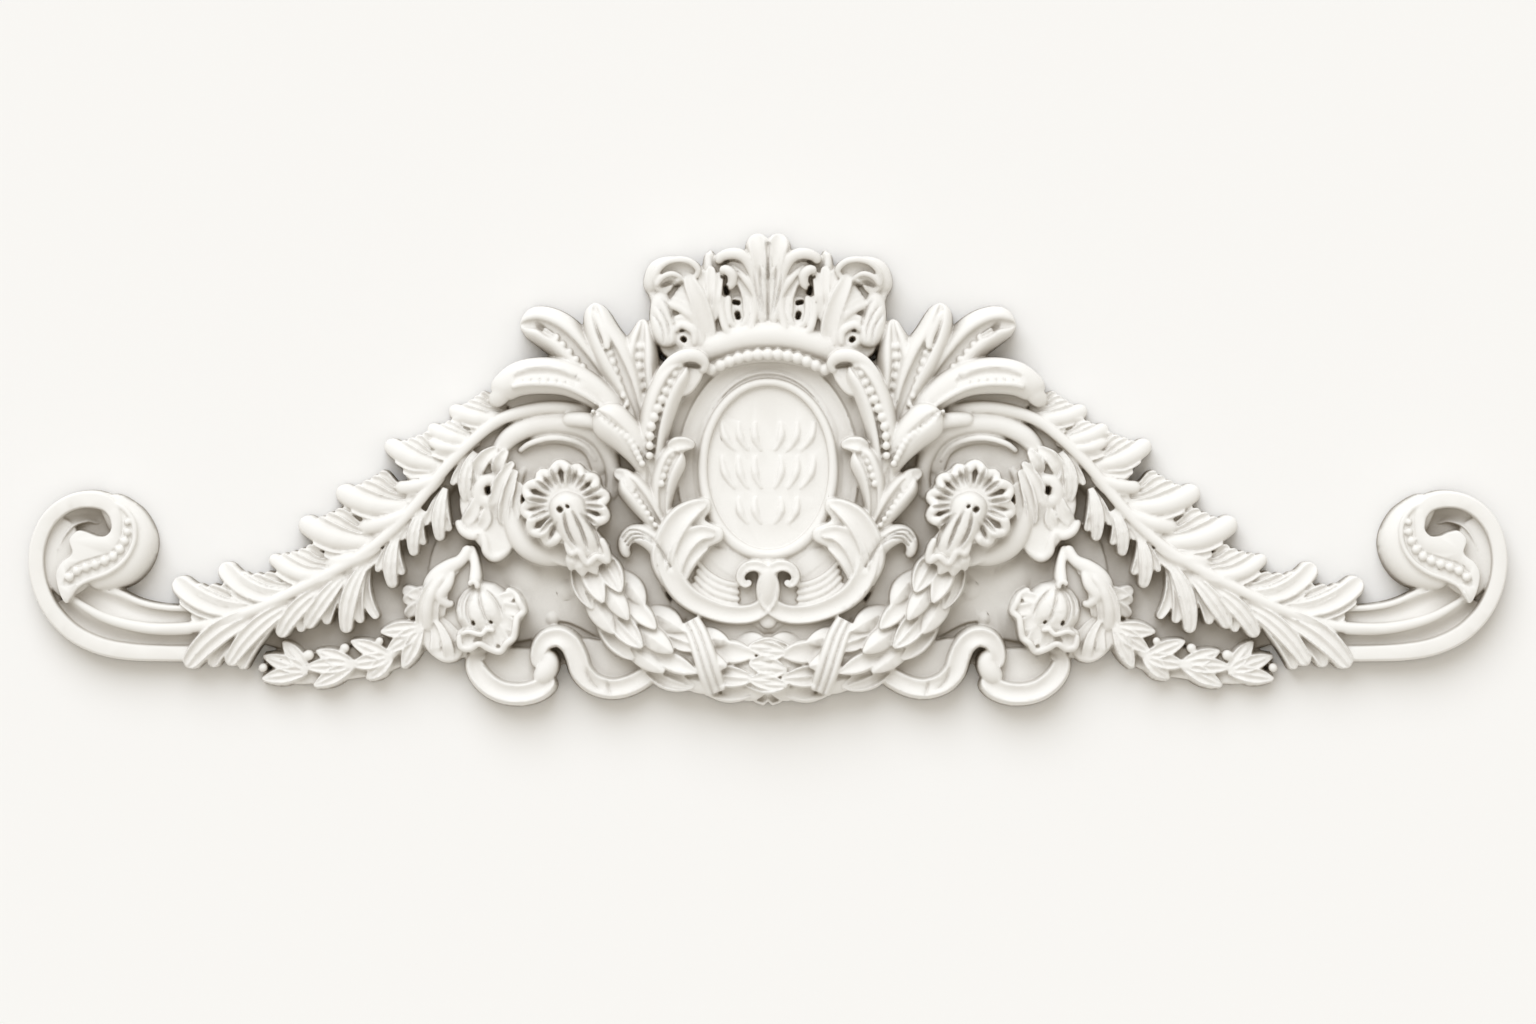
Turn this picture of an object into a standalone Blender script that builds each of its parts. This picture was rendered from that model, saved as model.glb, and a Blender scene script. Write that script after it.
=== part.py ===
"""A cast plaster overdoor ornament in high relief, 1.2 m wide, with a flat back that sits on the wall.

Every motif is a closed solid that runs down past the back plane. They are merged into one body,
and the part behind the wall is cut away. X runs along the wall, Z is up, and the front faces -Y."""

import math

import bpy
import numpy as np

# Sizes in metres.
WIDTH = 1.200
VOXEL = 0.0015
BACK_CUT_DEPTH = 0.030
BLOCK_HALF_WIDTH = 0.6 * WIDTH
BLOCK_HALF_HEIGHT = 0.3 * WIDTH

# The layout is drawn in units: x to the right, y down, and a height in front of the wall.
LAYOUT_WIDTH = 1477
UNIT = WIDTH / LAYOUT_WIDTH
AXIS_X = 768
AXIS_Y = 466
BEHIND = 6.0
GROUND = 6.0
CUT_FLOOR = 4.0

# Mesh settings.
STEP = 4.0
ACROSS = 9
MOST_TRIANGLES = 8900
SMOOTHING = 0.5

PLASTER_COLOUR = (0.83, 0.81, 0.77, 1.0)
PLASTER_ROUGHNESS = 0.62
FULL_TURN = 2 * math.pi


class Relief:
    """Collects closed solids and cuts. Each comes with its mirror image unless it lies on the axis."""

    def __init__(self):
        self.points = []
        self.faces = []
        self.count = 0
        self.cuts = []

    def add(self, points, faces, mirror):
        points = np.asarray(points, float)
        self.put(points, faces)
        if mirror:
            across = points * (-1, 1, 1) + (2 * AXIS_X, 0, 0)
            self.put(across, [face[::-1] for face in faces])

    def put(self, points, faces):
        self.points.append(points)
        self.faces += [tuple(int(i) + self.count for i in face) for face in faces]
        self.count += len(points)

    def cut(self, rows, mirror=True):
        """A groove pressed into the finished face along rows of (x, y, half width, depth)."""
        curve = spline(rows)
        curve = sampled(curve, np.arange(0, along(curve)[-1] + 1, 1.0))
        self.cuts.append(curve)
        if mirror:
            self.cuts.append(curve * (-1, 1, 1, 1) + (2 * AXIS_X, 0, 0, 0))

    def pit(self, x, y, rx, ry, depth, mirror=True):
        """A small hole, longer across or downwards."""
        r, dx, dy = min(rx, ry), max(rx - ry, 0.4), max(ry - rx, 0.4)
        self.cut([(x - dx, y - dy, r, depth), (x, y, r, depth), (x + dx, y + dy, r, depth)], mirror)

    def mesh(self, name):
        p = np.vstack(self.points)
        x = (p[:, 0] - AXIS_X) * UNIT
        y = -p[:, 2] * UNIT
        z = (AXIS_Y - p[:, 1]) * UNIT
        mesh = bpy.data.meshes.new(name)
        mesh.from_pydata(np.stack([x, y, z], 1).tolist(), [], self.faces)
        mesh.update()
        return mesh

    def carve(self, mesh):
        """Presses the cuts into the mesh, towards the wall."""
        p = np.empty(len(mesh.vertices) * 3)
        mesh.vertices.foreach_get("co", p)
        p = p.reshape(-1, 3)
        x, y, height = p[:, 0] / UNIT + AXIS_X, AXIS_Y - p[:, 2] / UNIT, -p[:, 1] / UNIT
        order = np.argsort(x)
        sink = np.zeros(len(p))
        for curve in self.cuts:
            reach = curve[:, 2].max()
            low, high = curve[:, :2].min(0) - reach, curve[:, :2].max(0) + reach
            first, last = np.searchsorted(x[order], [low[0], high[0]])
            near = order[first:last]
            near = near[(y[near] > low[1]) & (y[near] < high[1])]
            if not len(near):
                continue
            gap = np.hypot(x[near, None] - curve[None, :, 0], y[near, None] - curve[None, :, 1])
            share = gap / curve[None, :, 2]
            best = share.argmin(1)
            share = np.clip(share[np.arange(len(near)), best], 0, 1)
            sink[near] = np.maximum(sink[near], curve[best, 3] * (1 - share**1.7))
        lowest = np.minimum(height, CUT_FLOOR)
        p[:, 1] = -np.maximum(height - sink, lowest) * UNIT
        mesh.vertices.foreach_set("co", p.ravel())
        mesh.update()


# Curves.


def spline(rows, closed=False, per_span=12):
    """A smooth dense curve through the rows, with every column treated alike."""
    rows = np.asarray(rows, float)
    if closed:
        ring = np.vstack([rows[-1:], rows, rows[:2]])
    else:
        ring = np.vstack([2 * rows[0] - rows[1], rows, 2 * rows[-1] - rows[-2]])
    t = np.linspace(0, 1, per_span, endpoint=False)[:, None]
    dense = []
    for i in range(len(ring) - 3):
        a, b, c, d = ring[i : i + 4]
        cubic = (3 * b - a - 3 * c + d) * t**3 + (2 * a - 5 * b + 4 * c - d) * t**2
        dense.append(0.5 * (2 * b + (c - a) * t + cubic))
    if not closed:
        dense.append(rows[-1:])
    return np.vstack(dense)


def along(curve):
    return np.concatenate([[0], np.cumsum(np.linalg.norm(np.diff(curve[:, :2], axis=0), axis=1))])


def sampled(curve, at):
    distance = along(curve)
    return np.stack([np.interp(at, distance, curve[:, k]) for k in range(curve.shape[1])], 1)


def right_hand(curve):
    """Unit normals to the right of the way the curve runs, as seen from the front."""
    t = np.gradient(curve[:, :2], axis=0)
    t /= np.maximum(np.linalg.norm(t, axis=1, keepdims=True), 1e-9)
    return np.stack([-t[:, 1], t[:, 0]], 1)


def arc(a, b, bow, count):
    """Points from a to b on an arc that bulges by bow to the right of the way."""
    a, b = np.asarray(a, float), np.asarray(b, float)
    t = np.linspace(0, 1, count)[:, None]
    side = np.array([a[1] - b[1], b[0] - a[0]]) / np.linalg.norm(b - a)
    return a + (b - a) * t + side * bow * 4 * t * (1 - t)


def spread(values, t):
    return np.interp(t, np.linspace(0, 1, len(values)), values)


# Cross-sections: how far the surface lies below the crest, in half widths, for u from -1 to 1.


def rounded(u):
    return 0.85 * (1 - np.sqrt(np.clip(1 - 0.97 * u**2, 0, 1)))


def flat(u):
    return 0.5 * np.clip((np.abs(u) - 0.75) / 0.25, 0, 1) ** 2


def veined(u):
    rib = 0.3 * np.exp(-((u / 0.17) ** 2))
    rim = 0.36 * np.exp(-(((np.abs(u) - 0.84) / 0.15) ** 2))
    return 0.36 - rib - rim + 0.35 * np.clip((np.abs(u) - 0.9) / 0.1, 0, 1)


def hollow(u):
    side = np.clip(np.abs(u) / 0.82, 0, 1) ** 2
    return 0.6 * (1 - side) + 0.6 * np.clip((np.abs(u) - 0.82) / 0.18, 0, 1) ** 1.5


def dished(u):
    side = np.clip(np.abs(u) / 0.76, 0, 1) ** 2
    return 0.32 * (1 - side) + 0.6 * np.clip((np.abs(u) - 0.76) / 0.24, 0, 1) ** 1.5


def keeled(u):
    return 0.5 * np.abs(u) ** 0.9 + 0.2 * np.clip((np.abs(u) - 0.85) / 0.15, 0, 1)


def podded(u):
    """Two full lips with a furrow between them."""
    a = np.abs(u)
    return 0.72 * np.clip((a - 0.45) / 0.55, 0, 1) ** 2.2 + 0.36 * np.clip((0.34 - a) / 0.14, 0, 1)


def slit(u):
    """Two full lips that nearly meet."""
    return rounded(u) + 0.3 * np.exp(-((u / 0.15) ** 2))


# Solids.


def loft(relief, rings, mirror, closed=False):
    """Joins outlines with equal numbers of points into one closed solid."""
    stations, size = rings.shape[:2]
    index = np.arange(stations * size).reshape(stations, size)
    faces = []
    for i in range(stations if closed else stations - 1):
        a, b = index[i], index[(i + 1) % stations]
        for j in range(size):
            k = (j + 1) % size
            faces.append((a[j], b[j], b[k], a[k]))
    if not closed:
        faces.append(tuple(index[0]))
        faces.append(tuple(index[-1][::-1]))
    relief.add(rings.reshape(-1, 3), faces, mirror)


def sweep(relief, rows, section=rounded, flare=(2, 2), blunt=(False, False), mirror=True, closed=False):
    """A band through rows of (x, y, half width, crest height), widened by flare at the wall.

    flare holds the left and the right side, each a number or values spread along the band."""
    curve = spline(rows, closed)
    if closed:
        curve = np.vstack([curve, curve[:1]])
    total = along(curve)[-1]
    at = np.linspace(0, total, max(4, int(total / STEP) + 1))
    start, end = curve[0, 2], curve[-1, 2]
    bend = 1 - np.cos(np.linspace(0, math.pi / 2, 5))
    if not closed and not blunt[0]:
        at = np.concatenate([at[at > start], start * bend])
    if not closed and not blunt[1]:
        at = np.concatenate([at[at < total - end], total - end * bend])
    at = np.unique(np.clip(at, 0, total))
    even = np.linspace(0, total, max(30, int(total / 3)))
    n = right_hand(sampled(curve, even))
    if closed:
        n[0] = n[-1] = (n[0] + n[-1]) / np.linalg.norm(n[0] + n[-1])
    n = np.stack([np.interp(at, even, n[:, k]) for k in range(2)], 1)
    c = sampled(curve, at)
    w, h = c[:, 2].copy(), c[:, 3].copy()
    for near, size, cut in ((at, start, blunt[0]), (total - at, end, blunt[1])):
        if closed or cut:
            continue
        tuck = np.sqrt(np.clip(1 - (1 - np.clip(near / max(size, 0.1), 0, 1)) ** 2, 0, 1))
        w = w * np.maximum(tuck, 0.12)
        h = h - 0.5 * size * (1 - tuck)
    across = max(ACROSS, int(2.4 * w.max() / STEP))
    u = np.linspace(-1, 1, across)
    u = 0.5 * u + 0.5 * np.sin(u * math.pi / 2)
    left, right = (spread(np.atleast_1d(f).astype(float), at / total) for f in flare)
    rings = np.empty((len(at), across + 2, 3))
    for k, away in ((0, -(w + left)), (across + 1, w + right)):
        rings[:, k, :2] = c[:, :2] + n * away[:, None]
        rings[:, k, 2] = -BEHIND
    rings[:, 1:-1, :2] = c[:, None, :2] + n[:, None, :] * (u[None, :] * w[:, None])[:, :, None]
    rings[:, 1:-1, 2] = np.maximum(h[:, None] - w[:, None] * section(u)[None, :], 0.8)
    loft(relief, rings[:-1] if closed else rings, mirror, closed)


def strip(relief, a, b, bow, widths, heights, section=rounded, **more):
    """A band from a to b with a bow, its half widths and heights spread evenly along it."""
    t = np.linspace(0, 1, 7)
    path = arc(a, b, bow, 7)
    sweep(relief, np.column_stack([path, spread(widths, t), spread(heights, t)]), section, **more)


def scratch(relief, a, b, bow, half, depth, mirror=True):
    """A groove from a to b with a bow, fading out at both ends."""
    path = arc(a, b, bow, 7)
    fade = np.array([0.3, 0.8, 1, 1, 1, 0.8, 0.3])
    relief.cut(np.column_stack([path, half * (0.5 + 0.5 * fade), depth * fade]), mirror)


def boss(relief, x, y, rx, ry, top, edge, mirror=True, sides=16, levels=5):
    """A rounded knob whose rim stands at the height edge."""
    a = np.linspace(0, FULL_TURN, sides, endpoint=False)
    levels = [(1.04, -BEHIND)] + [
        (math.cos(k), edge + (top - edge) * math.sin(k)) for k in np.linspace(0, 1.5, levels)
    ]
    rings = [np.stack([x + rx * r * np.cos(a), y + ry * r * np.sin(a), 0 * a + z], 1) for r, z in levels]
    loft(relief, np.array(rings), mirror)


def plate(relief, outline, height, edge=2.0, flare=2.0, mirror=True):
    """A flat piece with a softened edge. The outline runs clockwise as seen from the front."""
    ring = spline(outline, closed=True, per_span=6)
    n = right_hand(np.vstack([ring[-1:], ring, ring[:1]]))[1:-1]
    levels = [(flare, -BEHIND), (0, height - edge), (-0.35 * edge, height - 0.35 * edge), (-edge, height)]
    rings = [np.column_stack([ring - n * out, np.full(len(ring), z)]) for out, z in levels]
    loft(relief, np.array(rings), mirror)


def oval(relief, x, y, rx, ry, half, height, section=rounded, flare=(2, 2)):
    """A closed oval band that lies on the axis. half holds the half widths at the top and the bottom."""
    a = np.linspace(0, FULL_TURN, 24, endpoint=False)
    w = half[0] + (half[1] - half[0]) * (0.5 + 0.5 * np.sin(a))
    rows = np.stack([x + (rx - w) * np.cos(a), y + (ry - w) * np.sin(a), w, 0 * a + height], 1)
    sweep(relief, rows, section, flare, mirror=False, closed=True)


def beads(relief, path, count, radius, heights, mirror=True):
    """A row of evenly spaced round beads along the path."""
    curve = spline(path)
    for t in np.linspace(0, 1, count):
        x, y = sampled(curve, [t * along(curve)[-1]])[0]
        top = float(spread(heights, t))
        r = float(spread(np.atleast_1d(radius).astype(float), t))
        boss(relief, x, y, r, r, top, top - r, mirror)


def leaf(relief, base, tip, half, heights, bow=0.0, section=keeled, mirror=True, flare=1.5):
    """A pointed laurel leaf."""
    widths = [0.35 * half, 0.85 * half, half, 0.85 * half, 0.15 * half]
    strip(relief, base, tip, bow, widths, heights, section, flare=(flare, flare), blunt=(True, True),
          mirror=mirror)


def frond(relief, base, tip, bow, blades, heights, section=rounded, side_section=hollow, fall=0.28, flare=1.5,
          taper=0.58, splay=False):
    """An acanthus leaf. Each blade is (sideways place, reach, half width) in shares of the leaf's length.

    Splayed blades part from the middle one all the way, the others run beside it."""
    length = math.hypot(tip[0] - base[0], tip[1] - base[1])
    t = np.linspace(0, 1, 9)
    axis = arc(base, tip, bow, 9)
    n = right_hand(axis)
    lines = np.column_stack([axis, n])
    ease = 0.12 + 0.88 * t**1.5 if splay else 0.35 + 0.65 * np.clip(t / 0.7, 0, 1)
    for side, reach, half in sorted(blades, key=lambda b: -abs(b[0])):
        row = np.stack([np.interp(t * reach, t, lines[:, k]) for k in range(4)], 1)
        path = row[:, :2] + row[:, 2:] * (side * length * ease)[:, None]
        w = half * length * (0.4 + 0.6 * np.sin(math.pi * taper * t))
        h = spread(heights, t * reach) - fall * abs(side) * length
        form = section if side == 0 else side_section
        sweep(relief, np.column_stack([path, w, h]), form, (flare, flare), (True, False))


# The end scrolls.


def end_scroll(relief):
    rim = [
        (196, 653, 8, 27), (165, 653, 8, 28), (131, 651.5, 8.5, 29), (103, 646.5, 8.7, 30),
        (79, 636, 8.7, 30), (62, 622, 8.6, 31), (49, 604, 8.4, 32), (40.5, 583, 8.2, 32),
        (37.5, 560, 8, 33), (41, 538, 8, 34), (50, 520, 8, 35), (64, 507, 8, 36), (80, 500.5, 8.2, 37),
        (97, 500, 8.6, 37), (110, 505, 8, 37), (117, 516, 6.6, 37), (117.5, 528, 5.5, 36),
    ]
    sweep(relief, rim, flat, flare=(1.5, 1), blunt=(True, False))
    drum = [
        (103, 500, 8, 34), (114, 508, 14, 34), (123, 518, 18, 34), (131, 528, 19, 34), (136.5, 542, 19, 34),
        (132, 557, 19, 34), (122, 568, 18, 33), (106, 576, 14, 32), (88, 581, 9, 31),
    ]
    sweep(relief, drum, rounded, flare=([2, 3, 3, 3, 2], 1))
    channel = [
        (119, 508), (131, 515), (137, 530), (135, 549), (124, 566), (106, 577), (88, 583), (76, 590),
        (70, 602), (66, 600), (60, 588), (58, 574), (63, 563), (74, 553), (71, 540), (79, 531), (88, 532),
        (98, 536), (107, 536), (113, 529), (113, 516),
    ]
    plate(relief, channel, 35.5, edge=1.0)
    face = [
        (115, 508), (121, 512), (123, 524), (122, 536), (117, 547), (108, 553.5), (92, 558.5), (78, 563.5),
        (69, 571), (66, 580), (67, 586), (77, 583), (73, 592), (69.5, 602.5), (65, 600), (60, 588),
        (58, 574), (63, 563), (74, 553), (71, 540), (79, 531), (88, 532), (98, 536), (107, 536), (113, 529),
        (112, 516),
    ]
    plate(relief, face, 37.5, edge=1.0, flare=0.5)
    border = [
        (116, 503, 2.2, 37), (127, 510, 2.4, 38), (135, 522, 2.4, 38.5), (136.5, 536, 2.4, 38.5),
        (132.5, 550, 2.4, 38.5), (123, 563, 2.4, 38.5), (108, 573, 2.4, 38), (90, 579.5, 2.3, 37.5),
        (78, 586.5, 2.2, 37), (70, 599, 1.8, 36),
    ]
    sweep(relief, border)
    row = [(129, 522), (128, 537), (117.5, 554.5), (99, 563.5), (81, 569.5), (71.5, 577)]
    beads(relief, row, 10, [3.2, 4.6, 4.8, 4.8, 4.8, 4.8, 4.6], [40, 42])
    floor = [(60, 622), (44, 590), (40, 550), (55, 515), (90, 503), (118, 520), (126, 560), (110, 600)]
    plate(relief, floor, 15)
    bed = [(70, 598), (50, 585), (44, 560), (48, 535), (60, 518), (74, 524), (80, 536), (98, 542), (112, 536),
           (122, 548), (104, 572)]
    plate(relief, bed, 26)
    shade = [(58, 600, 13, 25), (48, 575, 12, 26), (50, 545, 12, 27), (66, 520, 12, 29), (88, 514, 9, 22),
             (103, 520, 8, 17)]
    sweep(relief, shade, hollow, flare=(0, 0))


def arm(relief):
    lower_cove = [(58, 603, 13, 27), (78, 621, 13, 26), (104, 634, 13, 26), (136, 641, 13, 27),
                  (200, 643, 13, 28)]
    sweep(relief, lower_cove, hollow, blunt=(False, True))
    upper_cove = [(74, 588, 10, 24), (92, 596, 12, 24), (112, 603, 12, 25), (135, 612, 12, 26),
                  (165, 617, 12, 27),
                  (205, 617, 12, 28)]
    sweep(relief, upper_cove, hollow, blunt=(False, True))
    ridge = [
        (70, 596, 3, 27), (84, 606, 4, 29), (104, 617, 5, 30), (130, 625, 5.5, 31), (160, 629, 6, 32),
        (196, 628, 6.5, 34),
    ]
    sweep(relief, ridge)
    upper_edge = [(104, 584, 3, 22), (122, 594, 3, 25), (142, 603, 3, 26), (168, 608, 3, 27),
                  (205, 609, 3, 28)]
    sweep(relief, upper_edge)


def wing_stem(relief):
    rows = [
        (150, 629, 5.5, 32), (195, 627, 5.5, 34), (228, 619, 5.5, 36), (262, 607, 5.5, 37),
        (295, 591, 5.5, 38), (329, 574, 5.5, 38), (362, 555, 5.5, 38), (391, 532, 5.5, 38),
        (418, 503, 5.5, 38), (447, 467, 5.5, 38), (474, 440, 5.5, 38), (500, 420, 6, 38),
        (533, 409.5, 6.2, 39), (562, 407.5, 6, 38), (590, 412, 6, 33),
    ]
    sweep(relief, rows)
    underlay = [(x, y, 20, 23) for x, y, _, _ in rows[1:-2]]
    sweep(relief, underlay)


UPPER_BLADES = (
    (0, 1, 0.09), (0.108, 0.92, 0.062), (0.205, 0.84, 0.06), (0.295, 0.74, 0.056), (0.375, 0.6, 0.052),
    (-0.1, 0.84, 0.06), (-0.185, 0.66, 0.055),
)
SWOLLEN_BLADES = (
    (0, 1, 0.135), (0.135, 0.84, 0.068), (0.24, 0.76, 0.064), (0.335, 0.66, 0.06), (0.42, 0.54, 0.055),
    (-0.12, 0.74, 0.06), (-0.21, 0.58, 0.055),
)
LOWER_BLADES = ((0, 1, 0.14), (0.26, 0.68, 0.085), (-0.24, 0.78, 0.09))
SMALL_BLADES = ((0, 1, 0.14), (0.26, 0.78, 0.1), (-0.24, 0.8, 0.1))
FOLDED_BLADES = (
    (0, 1, 0.12), (0.085, 0.8, 0.062), (0.155, 0.66, 0.058), (0.215, 0.5, 0.052), (-0.11, 0.84, 0.062),
    (-0.19, 0.68, 0.056),
)
FULL_BLADES = ((0, 1, 0.13), (0.25, 0.7, 0.085), (-0.2, 0.84, 0.09))
PAIRED_BLADES = ((0, 1, 0.11), (0.2, 0.72, 0.08), (-0.14, 0.97, 0.085))
BRANCHED_BLADES = ((0, 1, 0.12), (0.24, 0.74, 0.08), (-0.2, 0.87, 0.085), (-0.42, 0.78, 0.08))


def wing_leaves(relief):
    upper = [
        ((266, 606), (175, 579), -14, FOLDED_BLADES, dished),
        ((306, 590), (222, 564), -17, FOLDED_BLADES, dished),
        ((345, 568), (271, 556), -14, UPPER_BLADES, rounded),
        ((378, 541), (301, 519), -10, SWOLLEN_BLADES, rounded),
        ((414, 505), (338, 488), -10, SWOLLEN_BLADES, rounded),
        ((448, 465), (387, 441), -8, SWOLLEN_BLADES, rounded),
        ((480, 440), (429, 426), -6, SWOLLEN_BLADES, rounded),
        ((508, 416), (450, 408), -7, SWOLLEN_BLADES, rounded),
    ]
    for base, tip, bow, blades, section in upper:
        frond(relief, base, tip, bow, blades, [31, 35, 37, 35, 29], section, fall=0.22, taper=0.7)
    tucked = [((414, 508), (359, 527)), ((442, 474), (396, 487)), ((380, 547), (326, 563)),
              ((468, 447), (430, 440)), ((340, 571), (300, 578))]
    for base, tip in tucked:
        frond(relief, base, tip, -5, SMALL_BLADES, [36, 38, 38, 32])
    lower = [
        ((266, 611), (187, 667), 9, FULL_BLADES), ((296, 603), (229, 665), 8, PAIRED_BLADES),
        ((326, 588), (280, 637), 6, LOWER_BLADES), ((346, 576), (307, 628), 3, SMALL_BLADES),
        ((368, 562), (347, 633), 7, BRANCHED_BLADES), ((398, 536), (394, 588), 5, LOWER_BLADES),
        ((424, 510), (415, 556), 5, LOWER_BLADES), ((446, 488), (441, 541), 4, FULL_BLADES),
        ((476, 452), (468, 502), 6, LOWER_BLADES),
    ]
    for base, tip, bow, blades in lower:
        frond(relief, base, tip, bow, blades, [33, 37, 38, 36, 31], veined, fall=0.3,
              flare=2, taper=0.88, splay=True)


# The rosette and the arch over it.


def arch(relief):
    middle = [
        (496, 461, 5, 28), (501, 448, 8.5, 34), (513, 435, 10, 37), (532, 426, 10.5, 37),
        (554, 423, 10.5, 37), (578, 426, 10.5, 37), (597, 436, 10, 36), (608, 452, 9, 34),
        (613, 472, 7.5, 32), (611, 500, 6, 28),
    ]
    sweep(relief, middle)
    web = [(530, 440, 9, 30), (552, 434, 10, 31), (576, 438, 10, 30), (593, 450, 10, 28), (601, 475, 8, 26)]
    sweep(relief, web, flat)
    inner = [(519, 452, 2.6, 30), (530, 444, 3, 34), (549, 438.5, 3.2, 35), (568, 439.5, 3.2, 34),
             (586, 447, 3, 31),
             (597, 462, 3, 28)]
    sweep(relief, inner)
    recess = [(530, 468, 24, 17), (560, 458, 26, 17), (588, 476, 24, 17)]
    sweep(relief, recess, flat)
    crescent = [
        (526, 467, 3, 24), (517, 480, 6.5, 31), (514, 500, 9.5, 36), (516, 522, 12, 39),
        (527, 543, 13.5, 40), (546, 554, 11.5, 39), (566, 556, 8, 35),
    ]
    sweep(relief, crescent)


RUFFLES = (
    (0.97, 40, 0.17, 1), (0.885, 38, 0.22, 4), (0.80, 38, 0.16, 0), (0.725, 40, 0.23, 5),
    (0.64, 39, 0.16, 1), (0.56, 42, 0.21, 4), (0.475, 42, 0.17, 0), (0.395, 43, 0.22, 4),
    (0.32, 42, 0.17, 1), (0.05, 41, 0.2, 4),
)


def rosette(relief):
    x, y = 567, 504

    def out(r, a):
        return x + r * math.cos(a), y + r * math.sin(a)

    boss(relief, x, y, 40, 40, 55, 52)
    gap = [(534, 528), (552, 526), (570, 540), (576, 560), (566, 566), (548, 557)]
    plate(relief, gap, 38)
    for share, reach, spread_out, lift in RUFFLES:
        a = FULL_TURN * share
        fold = [
            (16, -0.1, 3, 50), (28, -0.9 * spread_out, 4, 55), (reach - 6, -spread_out, 4.8, 59),
            (reach, 0, 4.6, 55), (reach - 6, spread_out, 4.8, 59), (28, 0.9 * spread_out, 4, 55),
            (16, 0.1, 3, 50),
        ]
        sweep(relief, [(*out(r, a + turn), w, h + lift) for r, turn, w, h in fold])
        scratch(relief, out(20, a), out(reach - 4, a), 0, 2.4, 3.5)
        scratch(relief, out(20, a + 0.28), out(38, a + 0.28), 0, 2.6, 5.5)
    bell = [
        (566, 491, 11, 61), (567, 500, 17, 67), (570, 514, 18.5, 68), (577, 530, 17, 66),
        (587, 545, 17, 61), (594, 556, 19, 53),
    ]
    sweep(relief, bell, blunt=(False, True))
    boss(relief, 592, 553, 17, 14, 54, 49)
    hem = [(567, 540, 3, 58), (572, 553, 3.4, 58), (580, 551, 3.2, 61), (588, 563, 3.6, 57),
           (598, 556, 3.4, 59), (608, 561, 3.6, 54), (606, 548, 3.2, 57), (601, 538, 3, 58)]
    sweep(relief, hem)
    relief.pit(561.5, 509.5, 3.4, 3.4, 12)
    relief.pit(568.9, 506.5, 1.9, 1.9, 9)
    for a, b, bow in (((566, 514), (578, 546), 3), ((574, 512), (589, 549), -1),
                      ((582, 514), (600, 546), -3)):
        scratch(relief, a, b, bow, 2.6, 6)
    for end, h in (((571, 570), 47), ((584, 576), 48), ((598, 574), 48)):
        leaf(relief, (580, 545), end, 9, [44, 53, 54, h], section=keeled)


def ruffle(relief):
    """The curled leaves between the wing stem and the crescent."""
    under = [(474, 458), (512, 462), (516, 500), (514, 545), (494, 558), (470, 532), (460, 500)]
    plate(relief, under, 29)
    eye = [
        (506, 484, 4, 33), (497, 480, 5.5, 35), (488, 480, 6.5, 37), (481, 486, 7, 37), (480, 496, 7, 36),
        (487, 502, 7, 36), (497, 500, 6, 34), (506, 495, 4, 32),
    ]
    sweep(relief, eye)
    relief.pit(488.5, 490.5, 3.4, 5.0, 16)
    for base, tip, bow, half in (
        ((514, 462), (495, 518), 6, 7), ((517, 470), (506, 526), 4, 7), ((520, 482), (514, 536), 2, 6),
        ((498, 448), (474, 478), 4, 7), ((508, 450), (496, 474), 2, 6),
    ):
        strip(relief, base, tip, bow, [3, half, half + 1, half], [36, 40, 39, 33], hollow)
    hem = [
        (457, 520, 3.4, 28), (463, 531, 4.2, 31), (473, 536, 4.4, 32), (480, 533, 4.2, 31),
        (485, 541, 4.4, 32), (487, 552, 4.6, 32), (495, 558, 4.4, 31), (505, 552, 4.2, 30),
        (511, 543, 4, 28),
    ]
    sweep(relief, hem)
    cup = [(470, 506, 9, 30), (484, 522, 12, 30), (498, 542, 12, 28)]
    sweep(relief, cup, dished)
    strip(relief, (476, 498), (463, 524), -4, [4, 8, 7], [35, 34, 29], dished)
    strip(relief, (486, 508), (480, 530), -3, [4, 7, 6], [35, 34, 30], dished)


# The garland.


GARLAND = [
    (590, 548, 18, 34), (598, 567, 21, 37), (609, 589, 24, 38), (625, 613, 26.5, 39), (650, 637, 28.5, 40),
    (682, 654, 29.5, 41), (717, 662.5, 29.5, 41), (745, 665, 29, 41), (770, 665.5, 28.5, 41),
]


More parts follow.
